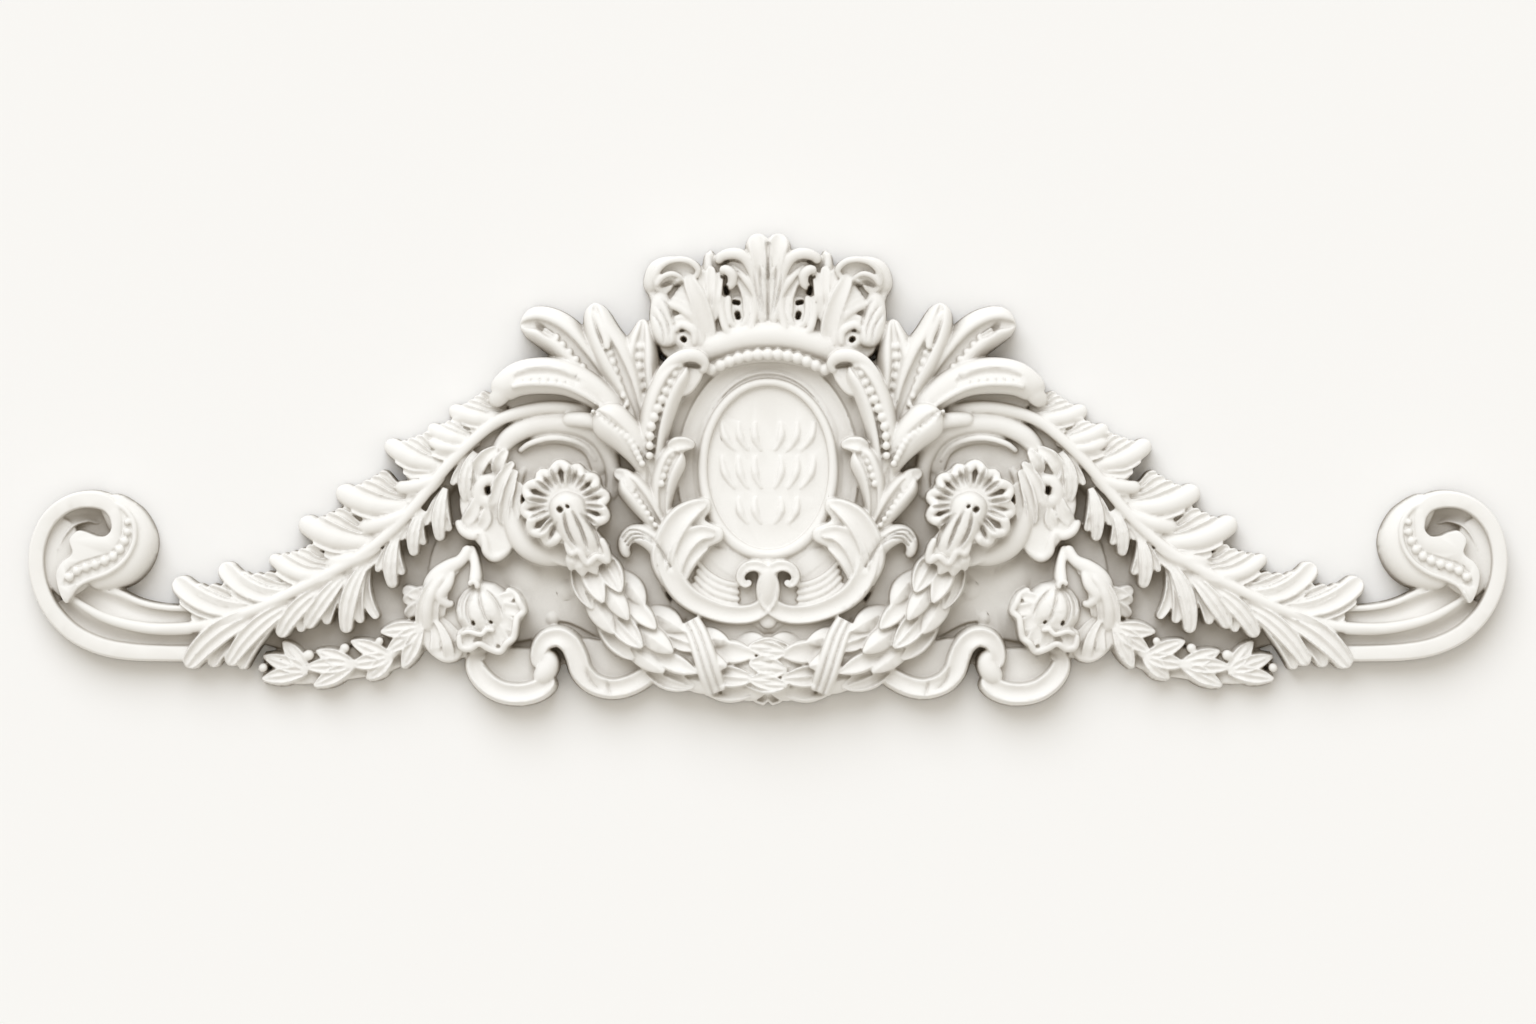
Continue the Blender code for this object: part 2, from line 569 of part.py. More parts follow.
def garland(relief):
    sweep(relief, GARLAND, blunt=(False, True), flare=(2, 3))
    curve = spline(GARLAND)
    n = right_hand(curve)
    distance = along(curve)
    total = distance[-1]
    length, pitch, half = 50, 27.5, 12
    for row in range(8, -1, -1):
        start = 4 + row * pitch
        offsets = (-0.72, 0.05, 0.76) if row % 2 else (-0.36, 0.42, 1.0)
        for k, off in enumerate(offsets):
            ends = []
            for d, out in ((start, 0.85), (min(start + length, total - 2), 1.04)):
                c = sampled(curve, [min(d, total - 2)])[0]
                m = [np.interp(min(d, total - 2), distance, n[:, k]) for k in range(2)]
                place = min(off * out, 0.95) * c[2]
                ends.append((c[0] + m[0] * place, c[1] + m[1] * place))
            crest = 43 - 13 * off * off
            lift = [crest - 5, crest, crest + 5, crest + 9, crest + 9]
            form = (veined, keeled, dished, keeled)[(row + 2 * k) % 4]
            wide = half * (1.06 - 0.1 * ((row + k) % 3))
            leaf(relief, ends[0], ends[1], wide, lift, bow=3 * off, section=form)
    wrap = [(690, 620, 10, 42), (698, 636, 11, 50), (705, 656, 11.6, 54), (711, 675, 11.6, 51),
            (717, 692, 10.5, 40)]
    sweep(relief, wrap, flat, flare=(3, 3), blunt=(True, True))
    for shift in (-4.5, 3.5):
        groove = [(x + shift, y, 2, 3) for x, y, _, _ in wrap]
        relief.cut(groove)
    for y, half in ((649, 11), (666, 12), (682, 10)):
        for way in (-1, 1):
            near, far = (AXIS_X - 22 * way, y), (AXIS_X + 19 * way, y + 3 * way)
            leaf(relief, near, far, half, [44, 49, 52, 53, 50], section=veined, mirror=False)


# The lower sprigs, flowers and ribbons.


def sprig(relief):
    stem = [(296, 670, 3, 20), (328, 668, 3.5, 24), (360, 662, 4, 27), (390, 656, 4, 29), (420, 625, 4, 30)]
    sweep(relief, stem, flare=(5, 7))
    groups = [
        ((308, 671), [(263, 656), (262, 679), (283, 641)], (263, 667.5, 4.6), 24),
        ((355, 664), [(305, 667), (314, 686), (316, 651)], (309, 655, 5.4), 27),
        ((392, 657), [(351, 665), (367, 679), (351, 641)], (345, 648, 4.8), 29),
        ((422, 627), [(387, 652), (403, 668), (381, 632)], (380, 641, 4), 32),
    ]
    for node, tips, berry, height in groups:
        for tip in tips:
            lift = [height, height + 3, height + 1, height - 4]
            leaf(relief, node, tip, 8.6, lift, section=veined, flare=4)
        boss(relief, berry[0], berry[1], berry[2], berry[2], height + 1, height - 3)


def hanging_leaf(relief):
    stem = [(470, 546, 5, 34), (462, 560, 6, 38), (449, 568, 8, 41), (438, 578, 10, 42), (430, 594, 11, 40)]
    sweep(relief, stem)
    blades = ((0, 1, 0.075), (0.11, 0.93, 0.062), (-0.1, 0.93, 0.066), (-0.2, 0.82, 0.06))
    frond(relief, (456, 566), (429, 631), 11, blades, [38, 44, 44, 40, 32])
    hook = [(453, 570, 4, 40), (449, 584, 5, 44), (441, 596, 5, 43), (449, 604, 4, 40), (454, 601, 3, 38)]
    sweep(relief, hook)
    lobes = ((0, 1, 0.14), (0.3, 0.86, 0.13), (-0.3, 0.94, 0.13))
    frond(relief, (436, 620), (450, 661), -4, lobes, [34, 36, 36, 28], dished, dished)
    for base, tip in (((428, 590), (404, 603)), ((425, 604), (406, 617)), ((424, 600), (402, 590))):
        strip(relief, base, tip, 2, [5, 7, 5.5], [28, 27, 22], dished)


def tulip(relief):
    strip(relief, (470, 546), (475, 584), -3, [4, 4.6, 6.5], [30, 38, 46])
    boss(relief, 484, 610, 29, 29, 52, 26)
    boss(relief, 493, 620, 24, 25, 43, 39)
    cup = [(476, 592, 16, 46), (482, 608, 25, 50), (487, 624, 28, 48), (489, 634, 26, 42)]
    sweep(relief, cup, rounded)
    ring = [(470, 585, 2.6, 50), (474, 581, 2.6, 51), (479, 584, 2.6, 51), (477, 588, 2.6, 51)]
    sweep(relief, ring)
    for a, b, bow in (
        ((475, 590), (474, 626), 6), ((480, 590), (490, 624), 2), ((484, 588), (503, 616), -3),
        ((470, 590), (463, 616), 4),
    ):
        scratch(relief, a, b, bow, 2.6, 4)
    relief.pit(474.5, 622.5, 2.2, 3.0, 10)
    relief.pit(492, 621.5, 1.8, 2.2, 8)
    skirt = [
        ((477, 626), (462, 645), 9), ((482, 626), (475, 646), 9), ((488, 626), (492, 650), 9),
        ((494, 624), (506, 644), 9), ((498, 616), (517, 628), 9), ((498, 606), (521, 611), 8),
        ((496, 600), (514, 596), 7),
    ]
    under = [
        (458, 632), (474, 622), (494, 600), (514, 590), (524, 600), (526, 612), (519, 624), (517, 638),
        (506, 648), (490, 650), (480, 646), (464, 650),
    ]
    plate(relief, under, 38)
    for base, tip, half in skirt:
        strip(relief, base, tip, 0, [half - 2, half], [44, 43], dished)
    hem = [
        (460, 634, 2.6, 44), (462, 646, 3.4, 43), (471, 648, 3.2, 44), (480, 643, 3, 47),
        (490, 648, 3.4, 44), (501, 651, 3.4, 43), (507, 643, 3, 46), (514, 637, 3.2, 45), (516, 627, 3, 47),
        (518, 617, 3, 46), (524, 611, 3.2, 44), (520, 602, 3, 45), (516, 594, 2.8, 42), (507, 589, 2.6, 42),
    ]
    sweep(relief, hem)
    lip = [(462, 634, 2.2, 46), (470, 631, 2.4, 49), (482, 634, 2.4, 50), (488, 629, 2.4, 50),
           (496, 630, 2.2, 49)]
    sweep(relief, lip)


def ribbon(relief):
    left_loop = [
        (486, 652, 6, 28), (476, 658, 8.5, 31), (478, 671, 10.5, 33), (489, 684, 11, 34),
        (505, 692, 11, 34), (525, 693, 11, 34), (542, 687, 10.5, 34), (552, 675, 9, 33),
    ]
    sweep(relief, left_loop, dished, flare=(3, 3))
    curl = [(535, 680, 7, 34), (545, 672, 10, 38), (550, 661, 9, 38), (544, 651, 6, 36)]
    sweep(relief, curl, rounded)
    crossing = [
        (540, 668, 7, 33), (538.5, 654, 8, 37), (545, 641, 9.5, 40), (558, 636.5, 10, 42),
        (570, 643, 10.5, 42), (577, 656, 11, 40), (582, 671, 11, 38), (594, 683, 10.5, 35),
        (612, 688, 10, 33), (631, 684, 10, 31), (652, 672, 9.5, 30),
    ]
    sweep(relief, crossing, dished, flare=(3, 3))
    scratch(relief, (587, 668), (600, 690), 3, 2.2, 2.5)
    scratch(relief, (607, 680), (611, 697), 0, 2.4, 2.5)
    left_floor = [(474, 654), (505, 648), (545, 652), (548, 672), (530, 690), (500, 690), (482, 676)]
    right_floor = [(578, 640), (620, 646), (656, 660), (640, 682), (612, 688), (592, 678)]
    for outline, height in ((left_floor, 22), (right_floor, 20)):
        plate(relief, outline, height)


# The oval frame, the spray beside it and the crest above.


def cartouche(relief):
    a = np.linspace(0, FULL_TURN, 20, endpoint=False)[::-1]
    for y, rx, ry, height in ((473, 103, 132, 30), (470, 66, 90, 26)):
        outline = np.stack([AXIS_X - rx * np.cos(a), y - ry * np.sin(a)], 1)
        plate(relief, outline[::-1], height, mirror=False)
    oval(relief, AXIS_X, 470, 93, 118, (12, 13), 33, dished)
    oval(relief, AXIS_X, 470, 70.5, 91.5, (3.8, 6), 37, rounded, (3, 3))
    moulding = [(692, 361, 12, 38), (714, 347, 13.5, 43), (741, 338.5, 14, 45), (768, 336, 14, 46)]
    moulding += [(2 * AXIS_X - x, y, w, h) for x, y, w, h in moulding[-2::-1]]
    sweep(relief, moulding, mirror=False)
    under = [(706, 368, 9, 35), (740, 357, 9, 38), (768, 354, 9, 39)]
    under += [(2 * AXIS_X - x, y, w, h) for x, y, w, h in under[-2::-1]]
    sweep(relief, under, flat, mirror=False)
    row = [(711, 370), (740, 358.4), (768, 355), (796, 358.4), (825, 370)]
    beads(relief, row, 13, 6, [47, 51, 47], False)


def oval_strokes(relief):
    """Rows of shallow strokes in the field of the oval, alike on both sides of the axis."""
    for y, size, reach in ((436, 15, 3), (472, 17, 3), (510, 14, 2)):
        for k in range(reach):
            x = AXIS_X - 9 - 15 * k
            lean = 3 + 2 * k
            strip(relief, (x + lean, y + size), (x - lean, y - size), -4, [1.6, 3.4, 2.2], [31, 33.6, 31])


def calyx(relief):
    under = [
        (660, 576), (656, 560), (660, 535), (673, 512), (692, 500), (708, 499), (711, 509), (705, 520),
        (722, 529), (722, 540), (709, 547), (698, 556), (688, 566), (680, 576),
    ]
    plate(relief, under, 46, edge=3)
    blades = [
        [(670, 584, 8, 42), (664, 560, 13, 50), (669, 538, 14, 54), (681, 519, 13, 56), (695, 508, 9, 54),
         (707, 503, 4, 49)],
        [(674, 584, 8, 42), (676, 562, 11, 50), (685, 543, 12, 53), (700, 533, 9, 53), (716, 534, 5, 49)],
        [(678, 584, 7, 42), (687, 564, 8, 49), (698, 551, 7, 49), (708, 545, 4, 46)],
    ]
    for rows in blades:
        sweep(relief, rows, dished, blunt=(True, False))
    c_band = [
        (666, 552, 12, 50), (672, 575, 12, 49), (685, 594, 11.5, 46), (706, 607, 11, 42),
        (730, 614, 10.5, 40), (752, 613, 10, 41), (767, 603, 9, 44), (772, 587, 8, 47), (767, 572, 6.5, 49),
        (756, 565.5, 5.6, 50), (745, 568.5, 5, 49), (740.5, 577, 4.4, 47), (745, 584, 3.8, 46),
        (751.5, 581, 3.2, 45),
    ]
    sweep(relief, c_band, dished, blunt=(True, False))
    inside = [(684, 560), (700, 545), (740, 552), (776, 556), (776, 630), (740, 618), (704, 604), (686, 590)]
    plate(relief, inside, 32)
    apron = [(668, 604, 12, 24), (694, 620, 16, 28), (734, 632, 15, 29), (770, 635, 15, 29)]
    sweep(relief, apron, flat, blunt=(False, True))
    for k in range(4):
        strip(relief, (692 + 2 * k, 583 - 7 * k), (740, 606 - 7 * k), 6, [2.6, 3, 2.8], [36, 38, 37],
              flare=(1, 1))
    small_scroll = [
        (674, 584, 10, 40), (668, 562, 12, 45), (658, 545, 11.5, 48), (645, 535.5, 10.5, 48),
        (633, 534, 9, 46), (625.5, 541, 7, 43), (625, 550, 5.5, 41), (629, 557, 4, 38),
    ]
    sweep(relief, small_scroll)
    for shift in (-3.6, 0.4, 4):
        relief.cut([(x + 0.7 * shift, y + shift, 1.5, 3) for x, y, _, _ in small_scroll[1:6]])
    knot = [(AXIS_X, 560, 11, 46), (AXIS_X, 574, 10, 50), (AXIS_X, 594, 8, 47), (AXIS_X, 612, 10, 38)]
    sweep(relief, knot, mirror=False)
    boss(relief, AXIS_X, 620, 9, 9, 37, 34, mirror=False)


def pod(relief, rows, bead_path, count, radius, section=podded, rise=-1.5):
    sweep(relief, rows, section, blunt=(True, False))
    crest = max(h for _, _, _, h in rows)
    beads(relief, bead_path, count, radius, [crest + rise, crest + rise])


def spray(relief):
    under = [(560, 372), (600, 350), (640, 350), (672, 372), (676, 420), (672, 500), (655, 520), (630, 470),
             (600, 430)]
    plate(relief, under, 22)
    pod(relief, [(655, 470, 5, 30), (628, 420, 9, 34), (606, 388, 14, 38), (584, 360, 19, 41),
                 (562, 337, 21, 43), (541, 325.5, 19, 41), (520.5, 325, 13, 35)],
                 [(556, 338), (570, 353), (590, 374)], 6,
                 [4.4, 4.2, 3])
    scratch(relief, (538, 324), (556, 337), 2, 4.5, 6)
    strip(relief, (544, 329), (556, 337), 1, [2, 2.6, 2], [41, 42, 41])
    pod(relief, [(655, 470, 4, 32), (640, 420, 9, 40), (628, 385, 16, 46), (615, 358, 20, 49),
                 (603, 335, 17, 48), (597, 317, 13, 45), (595.5, 303.5, 7, 39)],
                 [(607, 336), (614, 366), (627, 405)], 9,
                 [2.6, 4.8, 4.4, 3], rise=-2.5)
    strip(relief, (608, 350), (592, 312), 4, [3, 5, 3], [50, 48, 42])
    pod(relief, [(652, 470, 4, 32), (650, 425, 8, 37), (644, 395, 14, 42), (640, 365, 19, 44),
                 (641, 345, 16, 43), (643, 329, 9, 40), (643.5, 319.5, 4.5, 35)],
                 [(640.7, 347), (639.6, 369), (643.5, 397)], 6,
                 [5.2, 5, 4.2], rise=-2)
    drooping = [
        (650, 462, 5, 32), (622, 418, 11, 42), (597, 394, 15, 48), (571, 380, 17, 52), (545, 376, 18, 54),
        (521, 379, 17, 53), (504, 389, 14, 48), (496, 397, 12, 42),
    ]
    sweep(relief, drooping, rounded, blunt=(True, False))
    beak = [(510, 384, 9, 48), (500, 397, 9, 44), (491, 405, 6, 36)]
    sweep(relief, beak)
    brow = [(513, 388, 2.2, 54), (524, 385, 2.8, 57), (545, 384, 3, 58), (566, 387, 3, 56),
            (586, 396, 2.6, 52),
            (604, 408, 2.2, 47)]
    sweep(relief, brow)
    channel = [(518, 378, 4, 3), (535, 374, 6, 5), (556, 375, 6, 5), (578, 382, 4, 3)]
    relief.cut(channel)
    for k in range(7):
        x = 524 + 8.5 * k
        scratch(relief, (x + 3, 372 + 0.6 * k), (x, 382 + 0.6 * k), 1, 1.6, 3)
    pod(relief, [(652, 520, 5, 36), (650, 480, 10, 46), (653, 440, 15, 53), (660, 408, 17, 58),
                 (672, 381, 16, 61),
                 (686, 365, 13, 60)], [(680, 366), (663, 399), (652, 428), (650, 456)], 11,
                 [3.8, 4.8, 4.8, 4],
        rise=-2)
    hood = [(655, 388, 4, 52), (663, 373, 5, 58), (675, 361, 6, 61), (689, 356, 6.5, 62), (700, 358.5, 6, 60),
            (705, 366, 4.6, 56), (701, 373, 3.6, 53)]
    sweep(relief, hood)
    throat = [(672, 372), (690, 361), (702, 366), (702, 378), (690, 394), (678, 394)]
    plate(relief, throat, 50)
    relief.cut([(686, 366, 2.4, 4), (695, 366.5, 2.8, 5), (700, 368, 2, 3)])
    pod(relief, [(658, 500, 5, 38), (645, 463, 12, 50), (630, 440, 17, 57), (612, 423, 20, 61),
                 (597, 411, 19.5, 61)],
        [(594, 412), (612, 427), (630, 441), (643, 464)], 13, [2, 2.6, 3.6, 4.2, 3.4], slit, rise=-2)
    strip(relief, (602, 424), (563, 420), 2, [7, 8, 7], [47, 46, 41])
    slot_floor = [(505, 402), (540, 388), (590, 392), (600, 412), (560, 410), (525, 412)]
    plate(relief, slot_floor, 29)
    pod(relief, [(667, 543, 6, 38), (656, 520, 11, 46), (643, 500, 15, 51), (631, 485, 15, 52),
                 (623, 476, 12, 50)],
        [(629, 485), (642, 504), (656, 525)], 8, [3.4, 2.8], rise=-2)
    strip(relief, (634, 486), (614, 473), 3, [9, 8, 5], [50, 48, 41], dished)
    strip(relief, (636, 490), (626, 469), -2, [6, 5, 3], [50, 50, 45])
    pod(relief, [(668, 540, 5, 38), (663, 510, 9, 46), (664, 484, 13, 53), (671, 463, 15, 56),
                 (681, 450, 12, 55)],
        [(676, 448), (667, 465), (662, 484)], 6, [4, 3.6], rise=-1.5)
    strip(relief, (668, 449), (695, 446), -3, [5, 8, 7, 3], [52, 57, 55, 49], dished)


def crest(relief):
    ground = [
        (768, 345), (705, 355), (670, 358), (658, 342), (654, 318), (651, 298), (646, 286), (652, 270),
        (668, 260), (690, 262), (704, 268), (710, 251), (718, 260), (733, 254), (744, 252), (755, 239),
        (768, 243),
    ]
    plate(relief, ground + [(2 * AXIS_X - x, y) for x, y in ground[-2:0:-1]], 34, mirror=False)
    lobe = [(674, 346, 11, 44), (665, 333, 12, 45), (662, 316, 11.5, 44), (662, 300, 9, 42),
            (664, 292, 6, 40)]
    sweep(relief, lobe)
    shell = [(666, 294, 9, 42), (665, 281, 12, 46), (676, 272, 13, 48), (688, 272, 11, 47), (698, 274, 6, 45)]
    sweep(relief, shell, dished)
    back = [(655, 292, 6, 36), (652, 283, 7.5, 40), (656, 270, 7.5, 43), (667, 265, 7.5, 45),
            (682, 265, 7, 45)]
    sweep(relief, back)
    hood = [
        (659, 291, 3, 40), (656, 281, 3, 46), (659, 271, 3, 50), (667, 263.5, 3, 53), (679, 260.5, 3, 54),
        (691, 263, 3, 53), (698.5, 271, 3, 50), (695, 279, 2.6, 47),
    ]
    sweep(relief, hood)
    second_lip = [(656, 287, 2.2, 46), (663, 278, 2.6, 50), (673, 274.5, 2.6, 51), (683, 279, 2.2, 48)]
    sweep(relief, second_lip)
    relief.cut([(663, 286, 2.6, 4), (671, 283, 3.4, 6), (679, 286, 2.4, 4)])
    stem = [(708, 344, 10, 40), (705, 322, 10.5, 45), (698, 300, 10, 49), (691, 284, 7.5, 49),
            (689, 274, 4, 46)]
    sweep(relief, stem, dished)
    for k in range(4):
        a, b = (700 - 1.5 * k, 334 - 8 * k), (668 + 3.4 * k, 304 - 5 * k)
        strip(relief, a, b, 7, [3, 5, 5], [42, 46, 41])
    for reach, h in ((18, 41), (11.5, 43)):
        curl = [(683 + reach, 347, 3.6, h), (683 + reach, 335, 3.8, h + 1),
                (683 + 0.6 * reach, 340 - reach, 4, h + 2)]
        curl += [(683 - 0.2 * reach, 337 - reach, 4, h + 1), (683 - 0.8 * reach, 341 - 0.8 * reach, 3.6, h)]
        sweep(relief, curl)
    boss(relief, 684, 341, 9, 9, 41, 38)
    relief.pit(684, 340, 3.2, 3.6, 20)
    strip(relief, (700, 352), (670, 351), 5, [7, 10, 10], [42, 41, 34])
    fan = [((708, 322), (702, 271), 4.6), ((711, 320), (711, 267), 5), ((714, 322), (720, 273), 4.6)]
    for base, tip, half in fan:
        strip(relief, base, tip, 0, [2.6, half, half], [40, 46, 44], dished)
    strip(relief, (708, 288), (709, 253), 0, [7, 6, 3], [37, 38, 36])
    ball = [(720, 273, 3.6, 48), (726, 270.5, 4.8, 51), (732, 275, 5, 51), (732, 284, 4.4, 48),
            (727, 289, 3.4, 45)]
    sweep(relief, ball)
    relief.pit(722.5, 278, 2.2, 1.6, 7)
    arch_hood = [
        (717, 264, 3.8, 45), (723, 257, 5, 49), (734, 254.5, 5.6, 52), (744, 258, 5.6, 52),
        (751, 268, 5.4, 50), (757, 284, 5, 48), (761, 302, 4.8, 45), (762, 324, 4.4, 41),
    ]
    sweep(relief, arch_hood)
    inside = [(726, 266, 7, 43), (740, 274, 9, 44), (749, 296, 8, 43), (750, 320, 8, 41)]
    sweep(relief, inside, dished)
    strip(relief, (757, 302), (731, 267), 4, [2.8, 4, 2.8], [44, 47, 45])
    for reach, half, h in ((9.5, 3.2, 42), (16.5, 3.6, 44)):
        loop = [(738 - reach, 296, half, h), (738 - reach, 312, half, h),
                (738 - 0.7 * reach, 314 + reach, half, h)]
        loop += [(738, 316 + 1.15 * reach, half, h - 2)]
        loop += [(2 * 738 - x, y, w, z) for x, y, w, z in loop[-2::-1]]
        sweep(relief, loop)
    strip(relief, (738, 330), (738, 296), 0, [8, 8], [38, 38], flat)
    relief.pit(726.3, 291, 2.9, 5.2, 22)
    relief.pit(736.4, 303, 4.6, 2.8, 20)
    relief.pit(737.8, 316, 3.0, 4.8, 20)
    for a, b, bow in (((670, 341), (656, 306), 4), ((675, 331), (663, 300), 3), ((664, 344), (652, 314), 4)):
        scratch(relief, a, b, bow, 1.6, 2.6)
    lobes = (((768, 241), 0, 9, 46), ((755, 235), 4, 11.5, 53), ((746, 251), 6, 8, 50))
    for tip, bow, w, h in lobes:
        base = (AXIS_X - 0.12 * (AXIS_X - tip[0]), 326)
        strip(relief, base, tip, bow, [3.5, 6, 9, w, w], [38, 43, 47, h, h - 4], dished)
    relief.cut([(768, 320, 1.6, 3), (768, 285, 2.2, 4), (768, 256, 2.6, 5), (768, 246, 3.4, 5)], False)
    for k in range(2):
        scratch(relief, (765 - 1.5 * k, 318), (760 - 6 * k, 268 + 4 * k), -1.5, 1.7, 2.6)


def ground(relief):
    """The thin web that ties the motifs together on the wall."""
    outline = [
        (160, 640), (205, 622), (285, 590), (350, 550), (396, 503), (428, 458), (470, 424), (540, 402),
        (580, 380), (640, 372), (690, 352), (768, 345), (768, 672), (715, 672), (655, 655), (610, 684),
        (585, 672), (560, 664), (510, 690), (480, 668), (440, 650), (400, 655), (330, 662), (290, 652),
        (240, 640), (200, 650),
    ]
    plate(relief, outline, GROUND)
    raised = [
        (436, 540), (470, 520), (520, 470), (600, 440), (640, 500), (690, 600), (660, 640), (620, 660),
        (600, 640), (560, 622), (530, 640), (480, 640), (430, 600),
    ]
    plate(relief, raised, 10)
    behind_arch = [(462, 478), (480, 444), (520, 420), (580, 414), (622, 436), (640, 480), (620, 500),
                   (520, 500)]
    plate(relief, behind_arch, 23)
    beside_garland = [
        (602, 478), (634, 470), (650, 500), (654, 540), (664, 590), (686, 622), (700, 640), (696, 656),
        (668, 646), (632, 612), (600, 566),
    ]
    plate(relief, beside_garland, 24)
    for x, y, r in ((523, 577, 20), (552, 619, 7), (646, 582, 17), (627, 665, 9), (590, 600, 14),
                    (566, 590, 11)):
        boss(relief, x, y, r, r, 12.5, 9)
    under_leaf = [(426, 582), (450, 564), (470, 556), (474, 580), (462, 612), (464, 652), (446, 662),
                  (426, 648), (416, 620)]
    plate(relief, under_leaf, 29)
    under_sprig = [(288, 655), (330, 654), (378, 638), (420, 616), (428, 640), (396, 668), (340, 680),
                   (290, 682)]
    plate(relief, under_sprig, 17)


MOTIFS = (
    ground, end_scroll, arm, wing_stem, wing_leaves, arch, rosette, ruffle, garland, sprig, hanging_leaf,
    tulip, ribbon, cartouche, oval_strokes, calyx, spray, crest,
)


def apply(obj, kind, **settings):
    modifier = obj.modifiers.new(kind.title(), kind)
    for key, value in settings.items():
        setattr(modifier, key, value)
    graph = bpy.context.evaluated_depsgraph_get()
    mesh = bpy.data.meshes.new_from_object(obj.evaluated_get(graph))
    obj.modifiers.clear()
    obj.data = mesh


def wall_block():
    """The space behind the back plane."""
    x, z = BLOCK_HALF_WIDTH, BLOCK_HALF_HEIGHT
    corners = [(i, j, k) for i in (-x, x) for j in (0, BACK_CUT_DEPTH) for k in (-z, z)]
    faces = [(0, 1, 3, 2), (4, 6, 7, 5), (0, 4, 5, 1), (2, 3, 7, 6), (0, 2, 6, 4), (1, 5, 7, 3)]
    mesh = bpy.data.meshes.new("wall_block")
    mesh.from_pydata(corners, [], faces)
    block = bpy.data.objects.new("wall_block", mesh)
    bpy.context.scene.collection.objects.link(block)
    block.hide_render = True
    block.display_type = "WIRE"
    return block


def plaster():
    material = bpy.data.materials.new("plaster")
    material.use_nodes = True
    shader = material.node_tree.nodes["Principled BSDF"]
    shader.inputs["Base Color"].default_value = PLASTER_COLOUR
    shader.inputs["Roughness"].default_value = PLASTER_ROUGHNESS
    return material


def main():
    for obj in list(bpy.data.objects):
        bpy.data.objects.remove(obj)
    relief = Relief()
    for motif in MOTIFS:
        motif(relief)
    body = bpy.data.objects.new("floral_relief", relief.mesh("floral_relief"))
    bpy.context.scene.collection.objects.link(body)
    apply(body, "REMESH", mode="VOXEL", voxel_size=VOXEL)
    apply(body, "SMOOTH", factor=SMOOTHING, iterations=1)
    relief.carve(body.data)
    apply(body, "TRIANGULATE")
    apply(body, "DECIMATE", ratio=MOST_TRIANGLES / len(body.data.polygons))
    block = wall_block()
    apply(body, "BOOLEAN", object=block, operation="DIFFERENCE", solver="EXACT")
    apply(body, "TRIANGULATE")
    body.data.materials.clear()
    body.data.materials.append(plaster())
    body.data.polygons.foreach_set("use_smooth", [False] * len(body.data.polygons))
    print("triangles", len(body.data.polygons))


main()
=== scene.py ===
"""The looks of the plaster relief: the same motifs as the solid, meshed finely, on a pale wall."""

import math

import bpy
import numpy as np
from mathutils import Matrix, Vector


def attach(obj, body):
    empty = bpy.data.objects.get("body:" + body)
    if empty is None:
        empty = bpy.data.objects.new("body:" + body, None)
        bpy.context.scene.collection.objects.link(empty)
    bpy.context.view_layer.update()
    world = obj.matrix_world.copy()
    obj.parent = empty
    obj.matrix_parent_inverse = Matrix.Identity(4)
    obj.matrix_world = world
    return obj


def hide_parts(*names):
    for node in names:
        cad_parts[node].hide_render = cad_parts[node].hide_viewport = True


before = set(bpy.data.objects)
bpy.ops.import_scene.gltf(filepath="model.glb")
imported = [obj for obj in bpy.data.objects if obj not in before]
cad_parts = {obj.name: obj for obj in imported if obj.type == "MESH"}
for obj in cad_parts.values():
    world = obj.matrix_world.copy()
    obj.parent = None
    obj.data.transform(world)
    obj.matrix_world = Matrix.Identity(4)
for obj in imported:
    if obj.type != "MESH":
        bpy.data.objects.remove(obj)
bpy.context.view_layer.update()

# Sizes in metres.
WIDTH = 1.200
VOXEL = 0.0008
BACK_CUT_DEPTH = 0.030
BLOCK_HALF_WIDTH = 0.6 * WIDTH
BLOCK_HALF_HEIGHT = 0.3 * WIDTH
WALL_HALF_WIDTH = 3.2
WALL_HALF_HEIGHT = 2.4
WALL_GAP = 0.0006  # from the flat back to the wall
CAMERA_DISTANCE = 5.0
VIEW_RANGE = 60
FACE_DEPTH = 0.016  # this far in front of the wall the view is at true size
SUN_PLACE = (-0.45, -1.75, 1.75)
PAINTED_SHADE_REACH = 0.034  # how wide a hollow still gets painted shade
GRAIN_HEIGHT = 0.0004

# The layout is drawn in units: x to the right, y down, and a height in front of the wall.
LAYOUT_WIDTH = 1477
UNIT = WIDTH / LAYOUT_WIDTH
AXIS_X = 768
AXIS_Y = 466
BEHIND = 6.0  # how far solids reach into the wall before the cut
GROUND = 6.0  # the height of the web between the motifs
CUT_FLOOR = 4.0  # no groove goes deeper than this height

# Mesh settings.
STEP = 2.0
ACROSS = 17
STEPS_PER_WIDTH = 2.4
END_STEPS = 5
NORMAL_STEP = 3
FEWEST_NORMALS = 30
THINNEST_END = 0.12
LOWEST_FACE = 0.8
ARC_POINTS = 7
FROND_POINTS = 9
BOSS_SIDES = 16
BOSS_LEVELS = 5
CUT_STEP = 1.0
CUT_FALL = 1.7
MOST_TRIANGLES = 190000
SMOOTHING = 0.35
FULL_TURN = 2 * math.pi

# The photograph in pixels, and the camera's sensor in millimetres.
PHOTO_WIDTH = 1536
PHOTO_HEIGHT = 1024
SENSOR = 36.0

# Colours and lights.
PLASTER_DARK = (0.885, 0.87, 0.835, 1)
PLASTER_LIGHT = (0.92, 0.91, 0.88, 1)
# Painted shade: the dark warm colour that hollows and crevices are darkened towards.
PAINTED_SHADE_COLOUR = (0.31, 0.265, 0.205, 1)
WALL_COLOUR = (0.93, 0.925, 0.91, 1)
SKY_COLOUR = (1.0, 0.95, 0.865, 1)
SKY_STRENGTH = 0.65
SUN_COLOUR = (0.865, 0.915, 1.0)
SUN_STRENGTH = 1.92
SUN_SPREAD = math.radians(50)


